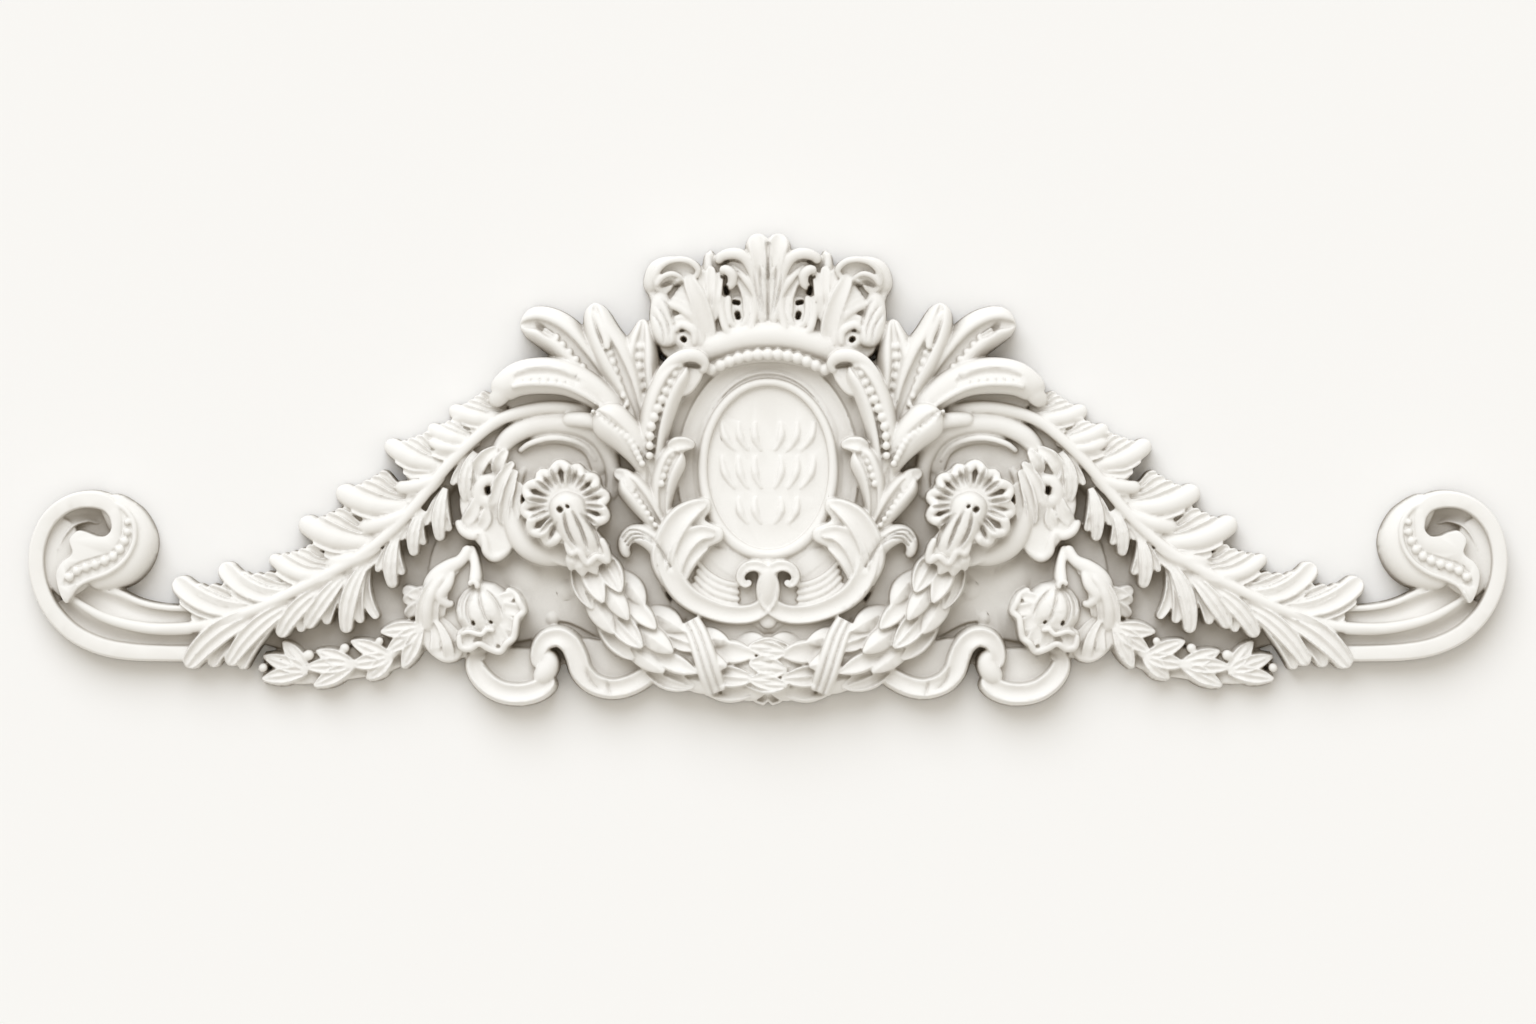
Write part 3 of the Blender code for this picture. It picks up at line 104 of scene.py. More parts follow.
class Relief:
    """Collects closed solids and cuts. Each comes with its mirror image unless it lies on the axis."""

    def __init__(self):
        self.points = []
        self.faces = []
        self.count = 0
        self.cuts = []

    def add(self, points, faces, mirror):
        points = np.asarray(points, float)
        self.put(points, faces)
        if mirror:
            across = points * (-1, 1, 1) + (2 * AXIS_X, 0, 0)
            self.put(across, [face[::-1] for face in faces])

    def put(self, points, faces):
        self.points.append(points)
        self.faces += [tuple(int(i) + self.count for i in face) for face in faces]
        self.count += len(points)

    def mesh(self):
        p = np.vstack(self.points)
        x = (p[:, 0] - AXIS_X) * UNIT
        y = -p[:, 2] * UNIT
        z = (AXIS_Y - p[:, 1]) * UNIT
        mesh = bpy.data.meshes.new("relief_casting")
        mesh.from_pydata(np.stack([x, y, z], 1).tolist(), [], self.faces)
        mesh.update()
        return mesh

    def carve(self, mesh):
        """Presses the cuts into the mesh, towards the wall."""
        p = np.empty(len(mesh.vertices) * 3)
        mesh.vertices.foreach_get("co", p)
        p = p.reshape(-1, 3)
        x, y, height = p[:, 0] / UNIT + AXIS_X, AXIS_Y - p[:, 2] / UNIT, -p[:, 1] / UNIT
        order = np.argsort(x)
        sink = np.zeros(len(p))
        for curve in self.cuts:
            reach = curve[:, 2].max()
            low, high = curve[:, :2].min(0) - reach, curve[:, :2].max(0) + reach
            first, last = np.searchsorted(x[order], [low[0], high[0]])
            near = order[first:last]
            near = near[(y[near] > low[1]) & (y[near] < high[1])]
            if not len(near):
                continue
            gap = np.hypot(x[near, None] - curve[None, :, 0], y[near, None] - curve[None, :, 1])
            share = gap / curve[None, :, 2]
            best = share.argmin(1)
            share = np.clip(share[np.arange(len(near)), best], 0, 1)
            sink[near] = np.maximum(sink[near], curve[best, 3] * (1 - share**CUT_FALL))
        lowest = np.minimum(height, CUT_FLOOR)
        p[:, 1] = -np.maximum(height - sink, lowest) * UNIT
        mesh.vertices.foreach_set("co", p.ravel())
        mesh.update()


relief = Relief()


# Curves.


def spline(rows, closed=False, per_span=12):
    """A smooth dense curve through the rows, with every column treated alike."""
    rows = np.asarray(rows, float)
    if closed:
        ring = np.vstack([rows[-1:], rows, rows[:2]])
    else:
        ring = np.vstack([2 * rows[0] - rows[1], rows, 2 * rows[-1] - rows[-2]])
    t = np.linspace(0, 1, per_span, endpoint=False)[:, None]
    dense = []
    for i in range(len(ring) - 3):
        a, b, c, d = ring[i : i + 4]
        cubic = (3 * b - a - 3 * c + d) * t**3 + (2 * a - 5 * b + 4 * c - d) * t**2
        dense.append(0.5 * (2 * b + (c - a) * t + cubic))
    if not closed:
        dense.append(rows[-1:])
    return np.vstack(dense)


def along(curve):
    """How far each point of the curve lies from its start."""
    return np.concatenate([[0], np.cumsum(np.linalg.norm(np.diff(curve[:, :2], axis=0), axis=1))])


def sampled(curve, at):
    """The curve's rows at the given distances from its start."""
    distance = along(curve)
    return np.stack([np.interp(at, distance, curve[:, k]) for k in range(curve.shape[1])], 1)


def right_hand(curve):
    """Unit normals to the right of the way the curve runs, as seen from the front."""
    t = np.gradient(curve[:, :2], axis=0)
    t /= np.maximum(np.linalg.norm(t, axis=1, keepdims=True), 1e-9)
    return np.stack([-t[:, 1], t[:, 0]], 1)


def arc(a, b, bow, count):
    """Points from a to b on an arc that bulges by bow to the right of the way."""
    a, b = np.asarray(a, float), np.asarray(b, float)
    t = np.linspace(0, 1, count)[:, None]
    side = np.array([a[1] - b[1], b[0] - a[0]]) / np.linalg.norm(b - a)
    return a + (b - a) * t + side * bow * 4 * t * (1 - t)


def spread(values, t):
    """Values spread evenly from 0 to 1, read at t."""
    return np.interp(t, np.linspace(0, 1, len(values)), values)


def and_back(rows, middle=AXIS_X):
    """The rows up to the middle, and then their mirror image back to the first."""
    return rows + [(2 * middle - row[0], *row[1:]) for row in rows[-2::-1]]


# Cross-sections: how far the surface lies below the crest, in half widths, for u from -1 to 1.


def rounded(u):
    return 0.85 * (1 - np.sqrt(np.clip(1 - 0.97 * u**2, 0, 1)))


def flat(u):
    return 0.5 * np.clip((np.abs(u) - 0.75) / 0.25, 0, 1) ** 2


def veined(u):
    rib = 0.3 * np.exp(-((u / 0.17) ** 2))
    rim = 0.36 * np.exp(-(((np.abs(u) - 0.84) / 0.15) ** 2))
    return 0.36 - rib - rim + 0.35 * np.clip((np.abs(u) - 0.9) / 0.1, 0, 1)


def hollow(u):
    side = np.clip(np.abs(u) / 0.82, 0, 1) ** 2
    return 0.6 * (1 - side) + 0.6 * np.clip((np.abs(u) - 0.82) / 0.18, 0, 1) ** 1.5


def dished(u):
    side = np.clip(np.abs(u) / 0.76, 0, 1) ** 2
    return 0.32 * (1 - side) + 0.6 * np.clip((np.abs(u) - 0.76) / 0.24, 0, 1) ** 1.5


def keeled(u):
    return 0.5 * np.abs(u) ** 0.9 + 0.2 * np.clip((np.abs(u) - 0.85) / 0.15, 0, 1)


def podded(u):
    """Two full lips with a furrow between them."""
    a = np.abs(u)
    return 0.72 * np.clip((a - 0.45) / 0.55, 0, 1) ** 2.2 + 0.36 * np.clip((0.34 - a) / 0.14, 0, 1)


def slit(u):
    """Two full lips that nearly meet."""
    return rounded(u) + 0.3 * np.exp(-((u / 0.15) ** 2))


# Solids. A band is rounded off at both ends unless it is blunt there.

NEITHER, START, END, BOTH = (False, False), (True, False), (False, True), (True, True)


def loft(rings, mirror, closed=False):
    """Joins outlines with equal numbers of points into one closed solid."""
    stations, size = rings.shape[:2]
    index = np.arange(stations * size).reshape(stations, size)
    faces = []
    for i in range(stations if closed else stations - 1):
        a, b = index[i], index[(i + 1) % stations]
        for j in range(size):
            k = (j + 1) % size
            faces.append((a[j], b[j], b[k], a[k]))
    if not closed:
        faces.append(tuple(index[0]))
        faces.append(tuple(index[-1][::-1]))
    relief.add(rings.reshape(-1, 3), faces, mirror)


def sweep(rows, section=rounded, flare=(2, 2), blunt=NEITHER, mirror=True, closed=False):
    """A band through rows of (x, y, half width, crest height), widened by flare at the wall.

    flare holds the left and the right side, each a number or values spread along the band."""
    curve = spline(rows, closed)
    if closed:
        curve = np.vstack([curve, curve[:1]])
    total = along(curve)[-1]
    at = np.linspace(0, total, max(4, int(total / STEP) + 1))
    start, end = curve[0, 2], curve[-1, 2]
    bend = 1 - np.cos(np.linspace(0, math.pi / 2, END_STEPS))
    if not closed and not blunt[0]:
        at = np.concatenate([at[at > start], start * bend])
    if not closed and not blunt[1]:
        at = np.concatenate([at[at < total - end], total - end * bend])
    at = np.unique(np.clip(at, 0, total))
    even = np.linspace(0, total, max(FEWEST_NORMALS, int(total / NORMAL_STEP)))
    n = right_hand(sampled(curve, even))
    if closed:
        n[0] = n[-1] = (n[0] + n[-1]) / np.linalg.norm(n[0] + n[-1])
    n = np.stack([np.interp(at, even, n[:, k]) for k in range(2)], 1)
    c = sampled(curve, at)
    w, h = c[:, 2].copy(), c[:, 3].copy()
    for near, size, flat_end in ((at, start, blunt[0]), (total - at, end, blunt[1])):
        if closed or flat_end:
            continue
        tuck = np.sqrt(np.clip(1 - (1 - np.clip(near / max(size, 0.1), 0, 1)) ** 2, 0, 1))
        w = w * np.maximum(tuck, THINNEST_END)
        h = h - 0.5 * size * (1 - tuck)
    across = max(ACROSS, int(STEPS_PER_WIDTH * w.max() / STEP))
    u = np.linspace(-1, 1, across)
    u = 0.5 * u + 0.5 * np.sin(u * math.pi / 2)
    left, right = (spread(np.atleast_1d(f).astype(float), at / total) for f in flare)
    rings = np.empty((len(at), across + 2, 3))
    for k, away in ((0, -(w + left)), (across + 1, w + right)):
        rings[:, k, :2] = c[:, :2] + n * away[:, None]
        rings[:, k, 2] = -BEHIND
    rings[:, 1:-1, :2] = c[:, None, :2] + n[:, None, :] * (u[None, :] * w[:, None])[:, :, None]
    rings[:, 1:-1, 2] = np.maximum(h[:, None] - w[:, None] * section(u)[None, :], LOWEST_FACE)
    loft(rings[:-1] if closed else rings, mirror, closed)


def strip(a, b, bow, widths, heights, section=rounded, **more):
    """A band from a to b with a bow, its half widths and heights spread evenly along it."""
    t = np.linspace(0, 1, ARC_POINTS)
    path = arc(a, b, bow, ARC_POINTS)
    sweep(np.column_stack([path, spread(widths, t), spread(heights, t)]), section, **more)


def cut(rows, mirror=True):
    """A groove pressed into the finished face along rows of (x, y, half width, depth)."""
    curve = spline(rows)
    curve = sampled(curve, np.arange(0, along(curve)[-1] + CUT_STEP, CUT_STEP))
    relief.cuts.append(curve)
    if mirror:
        relief.cuts.append(curve * (-1, 1, 1, 1) + (2 * AXIS_X, 0, 0, 0))


def pit(x, y, rx, ry, depth):
    """A small hole, longer across or downwards."""
    r, dx, dy = min(rx, ry), max(rx - ry, 0.4), max(ry - rx, 0.4)
    cut([(x - dx, y - dy, r, depth), (x, y, r, depth), (x + dx, y + dy, r, depth)])


def scratch(a, b, bow, half, depth):
    """A groove from a to b with a bow, fading out at both ends."""
    path = arc(a, b, bow, ARC_POINTS)
    fade = np.array([0.3, 0.8, 1, 1, 1, 0.8, 0.3])
    cut(np.column_stack([path, half * (0.5 + 0.5 * fade), depth * fade]))


def boss(x, y, rx, ry, top, edge, mirror=True):
    """A rounded knob whose rim stands at the height edge."""
    a = np.linspace(0, FULL_TURN, BOSS_SIDES, endpoint=False)
    dome = [(math.cos(k), edge + (top - edge) * math.sin(k)) for k in np.linspace(0, 1.5, BOSS_LEVELS)]
    rings = [
        np.stack([x + rx * r * np.cos(a), y + ry * r * np.sin(a), 0 * a + z], 1)
        for r, z in [(1.04, -BEHIND), *dome]
    ]
    loft(np.array(rings), mirror)


def plate(outline, height, edge=2.0, flare=2.0, mirror=True):
    """A flat piece with a softened edge. The outline runs clockwise as seen from the front."""
    ring = spline(outline, closed=True, per_span=6)
    n = right_hand(np.vstack([ring[-1:], ring, ring[:1]]))[1:-1]
    levels = [(flare, -BEHIND), (0, height - edge), (-0.35 * edge, height - 0.35 * edge), (-edge, height)]
    rings = [np.column_stack([ring - n * out, np.full(len(ring), z)]) for out, z in levels]
    loft(np.array(rings), mirror)


def oval(y, rx, ry, half, height, section, flare=(2, 2)):
    """A closed oval band that lies on the axis. half holds the half widths at the top and the bottom."""
    a = np.linspace(0, FULL_TURN, 24, endpoint=False)
    w = half[0] + (half[1] - half[0]) * (0.5 + 0.5 * np.sin(a))
    rows = np.stack([AXIS_X + (rx - w) * np.cos(a), y + (ry - w) * np.sin(a), w, 0 * a + height], 1)
    sweep(rows, section, flare, mirror=False, closed=True)


def beads(path, count, radius, heights, mirror=True):
    """A row of evenly spaced round beads along the path."""
    curve = spline(path)
    for t in np.linspace(0, 1, count):
        x, y = sampled(curve, [t * along(curve)[-1]])[0]
        top = float(spread(heights, t))
        r = float(spread(np.atleast_1d(radius).astype(float), t))
        boss(x, y, r, r, top, top - r, mirror)


def leaf(base, tip, half, heights, bow=0.0, section=keeled, mirror=True, flare=1.5):
    """A pointed laurel leaf."""
    widths = [0.35 * half, 0.85 * half, half, 0.85 * half, 0.15 * half]
    strip(base, tip, bow, widths, heights, section, flare=(flare, flare), blunt=BOTH, mirror=mirror)


def frond(base, tip, bow, blades, heights, section=rounded, side_section=hollow, fall=0.28, flare=1.5,
          taper=0.58, splay=False):
    """An acanthus leaf. Each blade is (sideways place, reach, half width) in shares of the leaf's length.

    Splayed blades part from the middle one all the way, the others run beside it."""
    length = math.hypot(tip[0] - base[0], tip[1] - base[1])
    t = np.linspace(0, 1, FROND_POINTS)
    axis = arc(base, tip, bow, FROND_POINTS)
    n = right_hand(axis)
    lines = np.column_stack([axis, n])
    ease = 0.12 + 0.88 * t**1.5 if splay else 0.35 + 0.65 * np.clip(t / 0.7, 0, 1)
    for side, reach, half in sorted(blades, key=lambda b: -abs(b[0])):
        row = np.stack([np.interp(t * reach, t, lines[:, k]) for k in range(4)], 1)
        path = row[:, :2] + row[:, 2:] * (side * length * ease)[:, None]
        w = half * length * (0.4 + 0.6 * np.sin(math.pi * taper * t))
        h = spread(heights, t * reach) - fall * abs(side) * length
        form = section if side == 0 else side_section
        sweep(np.column_stack([path, w, h]), form, (flare, flare), START)


# The end scrolls.


def end_scroll():
    rim = [
        (196, 653, 8, 27), (165, 653, 8, 28), (131, 651.5, 8.5, 29), (103, 646.5, 8.7, 30),
        (79, 636, 8.7, 30), (62, 622, 8.6, 31), (49, 604, 8.4, 32), (40.5, 583, 8.2, 32),
        (37.5, 560, 8, 33), (41, 538, 8, 34), (50, 520, 8, 35), (64, 507, 8, 36), (80, 500.5, 8.2, 37),
        (97, 500, 8.6, 37), (110, 505, 8, 37), (117, 516, 6.6, 37), (117.5, 528, 5.5, 36),
    ]
    sweep(rim, flat, flare=(1.5, 1), blunt=START)
    drum = [
        (103, 500, 8, 34), (114, 508, 14, 34), (123, 518, 18, 34), (131, 528, 19, 34), (136.5, 542, 19, 34),
        (132, 557, 19, 34), (122, 568, 18, 33), (106, 576, 14, 32), (88, 581, 9, 31),
    ]
    sweep(drum, flare=([2, 3, 3, 3, 2], 1))
    channel = [
        (119, 508), (131, 515), (137, 530), (135, 549), (124, 566), (106, 577), (88, 583), (76, 590),
        (70, 602), (66, 600), (60, 588), (58, 574), (63, 563), (74, 553), (71, 540), (79, 531), (88, 532),
        (98, 536), (107, 536), (113, 529), (113, 516),
    ]
    plate(channel, 35.5, edge=1.0)
    face = [
        (115, 508), (121, 512), (123, 524), (122, 536), (117, 547), (108, 553.5), (92, 558.5), (78, 563.5),
        (69, 571), (66, 580), (67, 586), (77, 583), (73, 592), (69.5, 602.5), (65, 600), (60, 588),
        (58, 574), (63, 563), (74, 553), (71, 540), (79, 531), (88, 532), (98, 536), (107, 536), (113, 529),
        (112, 516),
    ]
    plate(face, 37.5, edge=1.0, flare=0.5)
    border = [
        (116, 503, 2.2, 37), (127, 510, 2.4, 38), (135, 522, 2.4, 38.5), (136.5, 536, 2.4, 38.5),
        (132.5, 550, 2.4, 38.5), (123, 563, 2.4, 38.5), (108, 573, 2.4, 38), (90, 579.5, 2.3, 37.5),
        (78, 586.5, 2.2, 37), (70, 599, 1.8, 36),
    ]
    sweep(border)
    row = [(129, 522), (128, 537), (117.5, 554.5), (99, 563.5), (81, 569.5), (71.5, 577)]
    beads(row, 10, [3.2, 4.6, 4.8, 4.8, 4.8, 4.8, 4.6], [40, 42])
    floor = [(60, 622), (44, 590), (40, 550), (55, 515), (90, 503), (118, 520), (126, 560), (110, 600)]
    plate(floor, 15)
    bed = [
        (70, 598), (50, 585), (44, 560), (48, 535), (60, 518), (74, 524), (80, 536), (98, 542), (112, 536),
        (122, 548), (104, 572),
    ]
    plate(bed, 26)
    shade = [
        (58, 600, 13, 25), (48, 575, 12, 26), (50, 545, 12, 27), (66, 520, 12, 29), (88, 514, 9, 22),
        (103, 520, 8, 17),
    ]
    sweep(shade, hollow, flare=(0, 0))


def arm():
    lower_cove = [
        (58, 603, 13, 27), (78, 621, 13, 26), (104, 634, 13, 26), (136, 641, 13, 27), (200, 643, 13, 28),
    ]
    sweep(lower_cove, hollow, blunt=END)
    upper_cove = [
        (74, 588, 10, 24), (92, 596, 12, 24), (112, 603, 12, 25), (135, 612, 12, 26), (165, 617, 12, 27),
        (205, 617, 12, 28),
    ]
    sweep(upper_cove, hollow, blunt=END)
    ridge = [
        (70, 596, 3, 27), (84, 606, 4, 29), (104, 617, 5, 30), (130, 625, 5.5, 31), (160, 629, 6, 32),
        (196, 628, 6.5, 34),
    ]
    sweep(ridge)
    upper_edge = [
        (104, 584, 3, 22), (122, 594, 3, 25), (142, 603, 3, 26), (168, 608, 3, 27), (205, 609, 3, 28),
    ]
    sweep(upper_edge)


def wing_stem():
    rows = [
        (150, 629, 5.5, 32), (195, 627, 5.5, 34), (228, 619, 5.5, 36), (262, 607, 5.5, 37),
        (295, 591, 5.5, 38), (329, 574, 5.5, 38), (362, 555, 5.5, 38), (391, 532, 5.5, 38),
        (418, 503, 5.5, 38), (447, 467, 5.5, 38), (474, 440, 5.5, 38), (500, 420, 6, 38),
        (533, 409.5, 6.2, 39), (562, 407.5, 6, 38), (590, 412, 6, 33),
    ]
    sweep(rows)
    underlay = [(x, y, 20, 23) for x, y, _, _ in rows[1:-2]]
    sweep(underlay)


UPPER_BLADES = (
    (0, 1, 0.09), (0.108, 0.92, 0.062), (0.205, 0.84, 0.06), (0.295, 0.74, 0.056), (0.375, 0.6, 0.052),
    (-0.1, 0.84, 0.06), (-0.185, 0.66, 0.055),
)
SWOLLEN_BLADES = (
    (0, 1, 0.135), (0.135, 0.84, 0.068), (0.24, 0.76, 0.064), (0.335, 0.66, 0.06), (0.42, 0.54, 0.055),
    (-0.12, 0.74, 0.06), (-0.21, 0.58, 0.055),
)
LOWER_BLADES = ((0, 1, 0.14), (0.26, 0.68, 0.085), (-0.24, 0.78, 0.09))
SMALL_BLADES = ((0, 1, 0.14), (0.26, 0.78, 0.1), (-0.24, 0.8, 0.1))
FOLDED_BLADES = (
    (0, 1, 0.12), (0.085, 0.8, 0.062), (0.155, 0.66, 0.058), (0.215, 0.5, 0.052), (-0.11, 0.84, 0.062),
    (-0.19, 0.68, 0.056),
)
FULL_BLADES = ((0, 1, 0.13), (0.25, 0.7, 0.085), (-0.2, 0.84, 0.09))
PAIRED_BLADES = ((0, 1, 0.11), (0.2, 0.72, 0.08), (-0.14, 0.97, 0.085))
BRANCHED_BLADES = ((0, 1, 0.12), (0.24, 0.74, 0.08), (-0.2, 0.87, 0.085), (-0.42, 0.78, 0.08))


def wing_leaves():
    upper = [
        ((266, 606), (175, 579), -14, FOLDED_BLADES, dished),
        ((306, 590), (222, 564), -17, FOLDED_BLADES, dished),
        ((345, 568), (271, 556), -14, UPPER_BLADES, rounded),
        ((378, 541), (301, 519), -10, SWOLLEN_BLADES, rounded),
        ((414, 505), (338, 488), -10, SWOLLEN_BLADES, rounded),
        ((448, 465), (387, 441), -8, SWOLLEN_BLADES, rounded),
        ((480, 440), (429, 426), -6, SWOLLEN_BLADES, rounded),
        ((508, 416), (450, 408), -7, SWOLLEN_BLADES, rounded),
    ]
    for base, tip, bow, blades, section in upper:
        frond(base, tip, bow, blades, [31, 35, 37, 35, 29], section, fall=0.22, taper=0.7)
    tucked = [
        ((414, 508), (359, 527)), ((442, 474), (396, 487)), ((380, 547), (326, 563)),
        ((468, 447), (430, 440)), ((340, 571), (300, 578)),
    ]
    for base, tip in tucked:
        frond(base, tip, -5, SMALL_BLADES, [36, 38, 38, 32])
    lower = [
        ((266, 611), (187, 667), 9, FULL_BLADES), ((296, 603), (229, 665), 8, PAIRED_BLADES),
        ((326, 588), (280, 637), 6, LOWER_BLADES), ((346, 576), (307, 628), 3, SMALL_BLADES),
        ((368, 562), (347, 633), 7, BRANCHED_BLADES), ((398, 536), (394, 588), 5, LOWER_BLADES),
        ((424, 510), (415, 556), 5, LOWER_BLADES), ((446, 488), (441, 541), 4, FULL_BLADES),
        ((476, 452), (468, 502), 6, LOWER_BLADES),
    ]
    for base, tip, bow, blades in lower:
        frond(base, tip, bow, blades, [33, 37, 38, 36, 31], veined, fall=0.3,
              flare=2, taper=0.88, splay=True)


# The rosette and the arch over it.


def arch():
    middle = [
        (496, 461, 5, 28), (501, 448, 8.5, 34), (513, 435, 10, 37), (532, 426, 10.5, 37),
        (554, 423, 10.5, 37), (578, 426, 10.5, 37), (597, 436, 10, 36), (608, 452, 9, 34),
        (613, 472, 7.5, 32), (611, 500, 6, 28),
    ]
    sweep(middle)
    web = [(530, 440, 9, 30), (552, 434, 10, 31), (576, 438, 10, 30), (593, 450, 10, 28), (601, 475, 8, 26)]
    sweep(web, flat)
    inner = [
        (519, 452, 2.6, 30), (530, 444, 3, 34), (549, 438.5, 3.2, 35), (568, 439.5, 3.2, 34),
        (586, 447, 3, 31), (597, 462, 3, 28),
    ]
    sweep(inner)
    recess = [(530, 468, 24, 17), (560, 458, 26, 17), (588, 476, 24, 17)]
    sweep(recess, flat)
    crescent = [
        (526, 467, 3, 24), (517, 480, 6.5, 31), (514, 500, 9.5, 36), (516, 522, 12, 39),
        (527, 543, 13.5, 40), (546, 554, 11.5, 39), (566, 556, 8, 35),
    ]
    sweep(crescent)


RUFFLES = (
    (0.97, 40, 0.17, 1), (0.885, 38, 0.22, 4), (0.80, 38, 0.16, 0), (0.725, 40, 0.23, 5),
    (0.64, 39, 0.16, 1), (0.56, 42, 0.21, 4), (0.475, 42, 0.17, 0), (0.395, 43, 0.22, 4),
    (0.32, 42, 0.17, 1), (0.05, 41, 0.2, 4),
)


def rosette():
    x, y = 567, 504

    def out(r, a):
        return x + r * math.cos(a), y + r * math.sin(a)

    boss(x, y, 40, 40, 55, 52)
    gap = [(534, 528), (552, 526), (570, 540), (576, 560), (566, 566), (548, 557)]
    plate(gap, 38)
    for share, reach, wide, lift in RUFFLES:
        a = FULL_TURN * share
        fold = [
            (16, -0.1, 3, 50), (28, -0.9 * wide, 4, 55), (reach - 6, -wide, 4.8, 59), (reach, 0, 4.6, 55),
            (reach - 6, wide, 4.8, 59), (28, 0.9 * wide, 4, 55), (16, 0.1, 3, 50),
        ]
        sweep([(*out(r, a + turn), w, h + lift) for r, turn, w, h in fold])
        scratch(out(20, a), out(reach - 4, a), 0, 2.4, 3.5)
        scratch(out(20, a + 0.28), out(38, a + 0.28), 0, 2.6, 5.5)
    bell = [
        (566, 491, 11, 61), (567, 500, 17, 67), (570, 514, 18.5, 68), (577, 530, 17, 66),
        (587, 545, 17, 61), (594, 556, 19, 53),
    ]
    sweep(bell, blunt=END)
    boss(592, 553, 17, 14, 54, 49)
    hem = [
        (567, 540, 3, 58), (572, 553, 3.4, 58), (580, 551, 3.2, 61), (588, 563, 3.6, 57),
        (598, 556, 3.4, 59), (608, 561, 3.6, 54), (606, 548, 3.2, 57), (601, 538, 3, 58),
    ]
    sweep(hem)
    pit(561.5, 509.5, 3.4, 3.4, 12)
    pit(568.9, 506.5, 1.9, 1.9, 9)
    for a, b, bow in (((566, 514), (578, 546), 3), ((574, 512), (589, 549), -1),
                      ((582, 514), (600, 546), -3)):
        scratch(a, b, bow, 2.6, 6)
    for end, h in (((571, 570), 47), ((584, 576), 48), ((598, 574), 48)):
        leaf((580, 545), end, 9, [44, 53, 54, h])


def ruffle():
    """The curled leaves between the wing stem and the crescent."""
    under = [(474, 458), (512, 462), (516, 500), (514, 545), (494, 558), (470, 532), (460, 500)]
    plate(under, 29)
    eye = [
        (506, 484, 4, 33), (497, 480, 5.5, 35), (488, 480, 6.5, 37), (481, 486, 7, 37), (480, 496, 7, 36),
        (487, 502, 7, 36), (497, 500, 6, 34), (506, 495, 4, 32),
    ]
    sweep(eye)
    pit(488.5, 490.5, 3.4, 5.0, 16)
    for base, tip, bow, half in (
        ((514, 462), (495, 518), 6, 7), ((517, 470), (506, 526), 4, 7), ((520, 482), (514, 536), 2, 6),
        ((498, 448), (474, 478), 4, 7), ((508, 450), (496, 474), 2, 6),
    ):
        strip(base, tip, bow, [3, half, half + 1, half], [36, 40, 39, 33], hollow)
    hem = [
        (457, 520, 3.4, 28), (463, 531, 4.2, 31), (473, 536, 4.4, 32), (480, 533, 4.2, 31),
        (485, 541, 4.4, 32), (487, 552, 4.6, 32), (495, 558, 4.4, 31), (505, 552, 4.2, 30),
        (511, 543, 4, 28),
    ]
    sweep(hem)
    cup = [(470, 506, 9, 30), (484, 522, 12, 30), (498, 542, 12, 28)]
    sweep(cup, dished)
    strip((476, 498), (463, 524), -4, [4, 8, 7], [35, 34, 29], dished)
    strip((486, 508), (480, 530), -3, [4, 7, 6], [35, 34, 30], dished)


# The garland.


GARLAND = [
    (590, 548, 18, 34), (598, 567, 21, 37), (609, 589, 24, 38), (625, 613, 26.5, 39), (650, 637, 28.5, 40),
    (682, 654, 29.5, 41), (717, 662.5, 29.5, 41), (745, 665, 29, 41), (770, 665.5, 28.5, 41),
]


def garland():
    sweep(GARLAND, blunt=END, flare=(2, 3))
    curve = spline(GARLAND)
    n = right_hand(curve)
    distance = along(curve)
    total = distance[-1]
    length, pitch, half = 50, 27.5, 12
    for row in range(8, -1, -1):
        start = 4 + row * pitch
        offsets = (-0.72, 0.05, 0.76) if row % 2 else (-0.36, 0.42, 1.0)
        for k, off in enumerate(offsets):
            ends = []
            for d, out in ((start, 0.85), (min(start + length, total - 2), 1.04)):
                c = sampled(curve, [min(d, total - 2)])[0]
                m = [np.interp(min(d, total - 2), distance, n[:, k]) for k in range(2)]
                place = min(off * out, 0.95) * c[2]
                ends.append((c[0] + m[0] * place, c[1] + m[1] * place))
            crest = 43 - 13 * off * off
            lift = [crest - 5, crest, crest + 5, crest + 9, crest + 9]
            form = (veined, keeled, dished, keeled)[(row + 2 * k) % 4]
            wide = half * (1.06 - 0.1 * ((row + k) % 3))
            leaf(ends[0], ends[1], wide, lift, bow=3 * off, section=form)
    wrap = [
        (690, 620, 10, 42), (698, 636, 11, 50), (705, 656, 11.6, 54), (711, 675, 11.6, 51),
        (717, 692, 10.5, 40),
    ]
    sweep(wrap, flat, flare=(3, 3), blunt=BOTH)
    for shift in (-4.5, 3.5):
        cut([(x + shift, y, 2, 3) for x, y, _, _ in wrap])
    for y, half in ((649, 11), (666, 12), (682, 10)):
        for way in (-1, 1):
            near, far = (AXIS_X - 22 * way, y), (AXIS_X + 19 * way, y + 3 * way)
            leaf(near, far, half, [44, 49, 52, 53, 50], section=veined, mirror=False)


# The lower sprigs, flowers and ribbons.


def sprig():
    stem = [(296, 670, 3, 20), (328, 668, 3.5, 24), (360, 662, 4, 27), (390, 656, 4, 29), (420, 625, 4, 30)]
    sweep(stem, flare=(5, 7))
    groups = [
        ((308, 671), [(263, 656), (262, 679), (283, 641)], (263, 667.5, 4.6), 24),
        ((355, 664), [(305, 667), (314, 686), (316, 651)], (309, 655, 5.4), 27),
        ((392, 657), [(351, 665), (367, 679), (351, 641)], (345, 648, 4.8), 29),
        ((422, 627), [(387, 652), (403, 668), (381, 632)], (380, 641, 4), 32),
    ]
    for node, tips, berry, height in groups:
        for tip in tips:
            lift = [height, height + 3, height + 1, height - 4]
            leaf(node, tip, 8.6, lift, section=veined, flare=4)
        boss(berry[0], berry[1], berry[2], berry[2], height + 1, height - 3)


